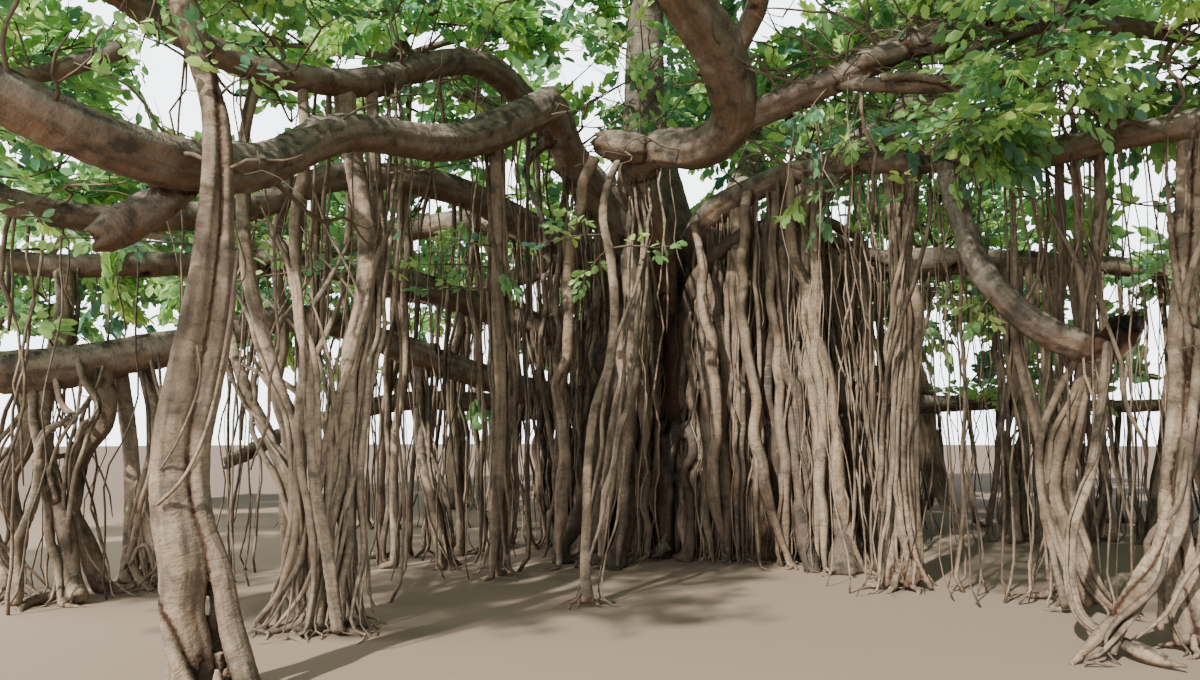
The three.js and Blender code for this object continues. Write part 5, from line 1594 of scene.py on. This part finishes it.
def grown(number, lines, ways, scale, level, rng):
    """The next level of shoots, as roots, directions and lengths, where there is room for them."""
    longs = [length * (scale if level["grows"] else 1) for length in level["lengths"]]
    starts, ways, lengths = shoots(lines, ways, level["places"], longs, *level["turns"], rng)
    for _ in range(level["tries"]):
        lengths[~free(number, starts + ways * lengths[:, None] * NEARLY_ALL, touch=False)] *= SHORTER
    keep = np.all([free(number, starts + ways * (lengths + level["past"])[:, None] * part)
                   for part in level["probes"]], 0)
    return starts[keep], ways[keep], lengths[keep]


for number, (mass, (bough, _, side, _)) in enumerate(MASSES.items()):
    rng = np.random.default_rng(900 + number)
    lines = mass_twigs(number, stems[bough])
    wood = [twig_tubes(*lines, 0.085, 0.028, 6, rings=6)]
    ways = unit(lines[2] - lines[0])
    for level in GROWTH:
        starts, ways, lengths = grown(number, lines, ways, side / USUAL_SIDE, level, rng)
        lines = bent(starts, ways, lengths, level["rise"])
        wood.append(twig_tubes(*lines, *level["tube"]))
    twig_piece(mass, wood)
    leaf_piece(mass, (starts, ways, lengths), rng, ["leaves_" + mass])

# %% [markdown]
# Young leafy shoots spring straight from old wood, along the boughs and on the pale bent branch.
# Each grows from the nearest limb out to its place, with a few side shoots of small leaves.

# %% Sprigs on old wood
SPRIGS_SEEN = [
    (575, 238, 9.6), (600, 258, 9.6), (632, 248, 9.5), (556, 232, 9.8), (478, 246, 9.7), (462, 290, 9.7),
    (452, 266, 9.7), (500, 262, 9.7), (800, 196, 9.9), (826, 206, 9.8), (846, 176, 9.6), (872, 152, 9.3),
    (892, 140, 9.3), (914, 148, 9.0), (938, 160, 8.9), (905, 200, 9.1), (958, 150, 8.6), (985, 140, 8.4),
    (806, 130, 9.0), (822, 96, 8.8), (858, 110, 8.8), (906, 118, 8.6), (932, 100, 8.4), (966, 70, 8.3),
    (1010, 60, 8.3), (1000, 110, 8.2), (1030, 130, 8.0), (967, 236, 8.2), (990, 300, 7.9), (620, 40, 11.5),
    (668, 60, 11.5), (690, 20, 11.5), (612, 90, 11.5), (700, 75, 11.5), (640, 15, 12),
    (1060, 110, 7.9), (1100, 90, 7.7), (1130, 120, 7.5), (150, 20, 6.2), (185, 60, 5.6), (212, 78, 5.5),
    (120, 12, 6.3), (225, 92, 5.6), (30, 215, 7.2), (95, 240, 7.0), (60, 190, 7.4), (420, 20, 9.0),
    (440, 8, 9.2), (395, 22, 9.0), (500, 20, 10.0), (640, 100, 10.5), (662, 120, 10.5)]
SPRIG_FIELDS = [(1105, 1200, 155, 265, 12.0, 14.5, 7), (560, 620, 20, 110, 12.0, 14.0, 5),
                (1000, 1200, 300, 410, 13.0, 16.0, 6), (880, 1000, 280, 400, 13.5, 16.5, 4),
                (230, 480, 290, 400, 11.0, 15.0, 12)]
LOWEST_SHOOT = 1.9
SHADED_REACH, SHADED_HEIGHT = 4.6, 4.5
LOW_SHOOTS = {"bough_right_mid": 46, "bough_right_low": 34, "bough_back_right": 22, "bough_back": 16,
              "bough_back_left": 22, "bough_left": 26, "bough_left_low": 7, "bough_left_mid": 7,
              "bough_left_high": 8, "leader_left_back": 14, "leader_back": 12,
              "leader_right": 10, "leader_top": 14}


def leafy_shoots(name, targets, rng, clearance, places, longs, scale=1):
    """A twig from the nearest limb to each target, with side shoots of leaves along it."""
    targets = np.array([t for t in targets if np.linalg.norm(t - EYE) > clearance and t[2] > LOWEST_SHOOT])
    found = [limb_tree.find(t)[:2] for t in targets]
    roots = np.array([p for p, _ in found])
    way = unit(targets - roots)
    roots = roots + way * limb_radii[[i for _, i in found]][:, None] * 0.6
    ends = roots + way * (np.linalg.norm(targets - roots, axis=1) + 0.25)[:, None]
    bends = (roots + ends) / 2 + [0, 0, 0.05]
    sprays = shoots((roots, bends, ends), way, places, longs, (0.4, 1.5), (-0.5, 0.5), rng)
    twig_piece(name, [twig_tubes(roots, bends, ends, 0.013, 0.005, 4, rings=4),
                      twig_tubes(*bent(*sprays, 0.03), 0.004, 0.002, 3, rings=2)])
    leaf_piece(name, sprays, rng, scale=scale)


rng = np.random.default_rng(1100)
sprig_places = [seen_at(*place) for place in SPRIGS_SEEN]
for left, right, upper, lower, near, far, count in SPRIG_FIELDS:
    sprig_places += [seen_at(rng.uniform(left, right), rng.uniform(upper, lower), rng.uniform(near, far))
                     for _ in range(count)]
leafy_shoots("sprig", sprig_places, rng, 3.2, (0.5, 0.75, 1.0), (0.2, 0.4), 0.82)
low_targets = []
for name, count in LOW_SHOOTS.items():
    for _ in range(count):
        target = at_share(bough_lines[name], rng.uniform(0.3, 1)) + rng.normal(0, 1, 3) * [1, 1, 0.7]
        if np.hypot(*target[:2]) > SHADED_REACH or target[2] > SHADED_HEIGHT:
            low_targets.append(target + [0, 0, 0.15])
leafy_shoots("low_shoot", low_targets, rng, 6.5, (0.3, 0.45, 0.6, 0.75, 0.87, 1.0), (0.3, 0.6))

# %% [markdown]
# Bare twigs cross one another along the upper boughs, where leaves have dropped. Each starts in
# the bough, bends a few times and carries two finer ones.

# %% Bare twigs
BARE_TWIGS = {"bough_front_right": 34, "bough_right_front": 46, "bough_front": 12, "bough_upper_left": 20,
              "bough_front_left": 8, "leader_left": 12, "leader_right": 14, "leader_top": 14,
              "bough_right_mid": 18, "bough_left_high": 12}
TWIG_BENDS = np.linspace(0, 1, 6)[:, None]
TWIG_TAPER = np.array([1.5, 1, 0.85, 0.6, 0.3])


def bare_twig(root, way, length, girth, rng):
    """A crooked, tapering twig without leaves."""
    line = root + way * length * TWIG_BENDS
    line[:, 2] += (0.16 * length * np.sin(math.pi * TWIG_BENDS)).ravel() * rng.uniform(-1, 1)
    line[1:] += rng.normal(0, 0.06 * length, (5, 3))
    return Strand(smooth_line(line, 0.12), girth * TWIG_TAPER, rng.uniform(0.3, 0.9))


rng = np.random.default_rng(1200)
twigs = []
for name, count in BARE_TWIGS.items():
    for _ in range(count):
        root = at_share(bough_lines[name], rng.uniform(0.25, 0.98))
        way = unit(plan_point(1, rng.uniform(0, 360), rng.uniform(-0.25, 0.9)))
        first = bare_twig(root, way, rng.uniform(0.7, 1.7), rng.uniform(0.009, 0.02), rng)
        found = [first]
        for share, turn in ((0.45, 0.8), (0.7, -0.9)):
            side_way = rotated(way[None], turn, rng.uniform(-0.3, 0.4))[0]
            found.append(bare_twig(at_share(first.line, share), side_way, rng.uniform(0.3, 0.8), 0.006, rng))
        reach = np.vstack([strand.line for strand in found])
        inside = ((reach > BOX_LOW) & (reach < BOX_HIGH)).all() and reach[:, 2].min() > LOWEST_SHOOT
        if inside and np.linalg.norm(reach - EYE, axis=1).min() > VIEW_CLEARANCE:
            twigs += found
root_piece("bare_twigs", twigs, 4, TWIG_BARK)

# %% [markdown]
# # The studio
# A pale floor and a pale, even sky stand in for a studio with white walls. The sun stands high at
# the front left. Two large soft lamps, one behind the camera and one far to the left, keep the
# shade under the boughs open; their beams are narrowed, so that less of their light falls on the
# floor. A spot stands for the sun fleck that lights the cluster of roots left of the middle.

# %% Floor and light
FLOOR_COLOUR = (0.22, 0.166, 0.128, 1)
SKY_SEEN, SKY_LIGHT = 4.4, 0.74
WHITE_SUN, WARM_SUN, SKYLIT = (1.0, 0.94, 0.84), (1.0, 0.95, 0.86), (1.0, 0.96, 0.9)
bpy.ops.mesh.primitive_circle_add(vertices=96, radius=90, fill_type="NGON", location=(0, 0, 0))
floor = bpy.context.object
floor.name = "floor"
sand = bpy.data.materials.new("pale floor")
sand.use_nodes = True
sand_shader = sand.node_tree.nodes["Principled BSDF"].inputs
sand_shader["Base Color"].default_value = FLOOR_COLOUR
sand_shader["Roughness"].default_value = 0.9
floor.data.materials.append(sand)
floor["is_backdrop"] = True

world = bpy.data.worlds.new("pale studio")
bpy.context.scene.world = world
world.use_nodes = True
sky = world.node_tree.nodes["Background"]
sky.inputs["Color"].default_value = (0.90, 0.95, 1.0, 1)
seen_directly = wire(world.node_tree, "ShaderNodeLightPath").outputs["Is Camera Ray"]
strength = wire(world.node_tree, "ShaderNodeMath", operation="MULTIPLY_ADD", i0=seen_directly, i1=SKY_SEEN,
                i2=SKY_LIGHT)
world.node_tree.links.new(strength.outputs[0], sky.inputs["Strength"])


def lamp(kind, place, target, energy, colour, **settings):
    way = Vector(target) - Vector(place)
    bpy.ops.object.light_add(type=kind, location=place, rotation=way.to_track_quat("-Z", "Y").to_euler())
    light = bpy.context.object.data
    light.energy = energy
    light.color = colour
    for key, value in settings.items():
        setattr(light, key, value)


SPREAD = math.radians(80)
lamp("SUN", (-9, -14, 15), (0, 0, 2), 10.0, WHITE_SUN, angle=math.radians(1.2))
for place, target, energy, colour, wide in (((-9, -19, 3.5), (0, -2, 2.5), 330, SKYLIT, 12),
                                            ((-19, -3, 4.5), (-5, -2, 2), 1050, WARM_SUN, 9)):
    lamp("AREA", place, target, energy, colour, shape="RECTANGLE", size=wide, size_y=5, spread=SPREAD)
lamp("SPOT", (1.5, -15, 4.2), (-3.9, -6.3, 1.6), 2600, WARM_SUN, spot_size=math.radians(17),
     spot_blend=0.8, shadow_soft_size=0.35)

# %% Print the size and finish
low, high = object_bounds()
print("largest:", sorted(pieces_made, key=lambda row: -row[1])[:5])
leaf_triangles = sum(count for name, count in pieces_made if name.endswith("_leaves"))
print("leaves:", leaf_triangles // len(LEAF_FACES))
print("pieces:", len(pieces_made), "triangles:", sum(n for _, n in pieces_made))
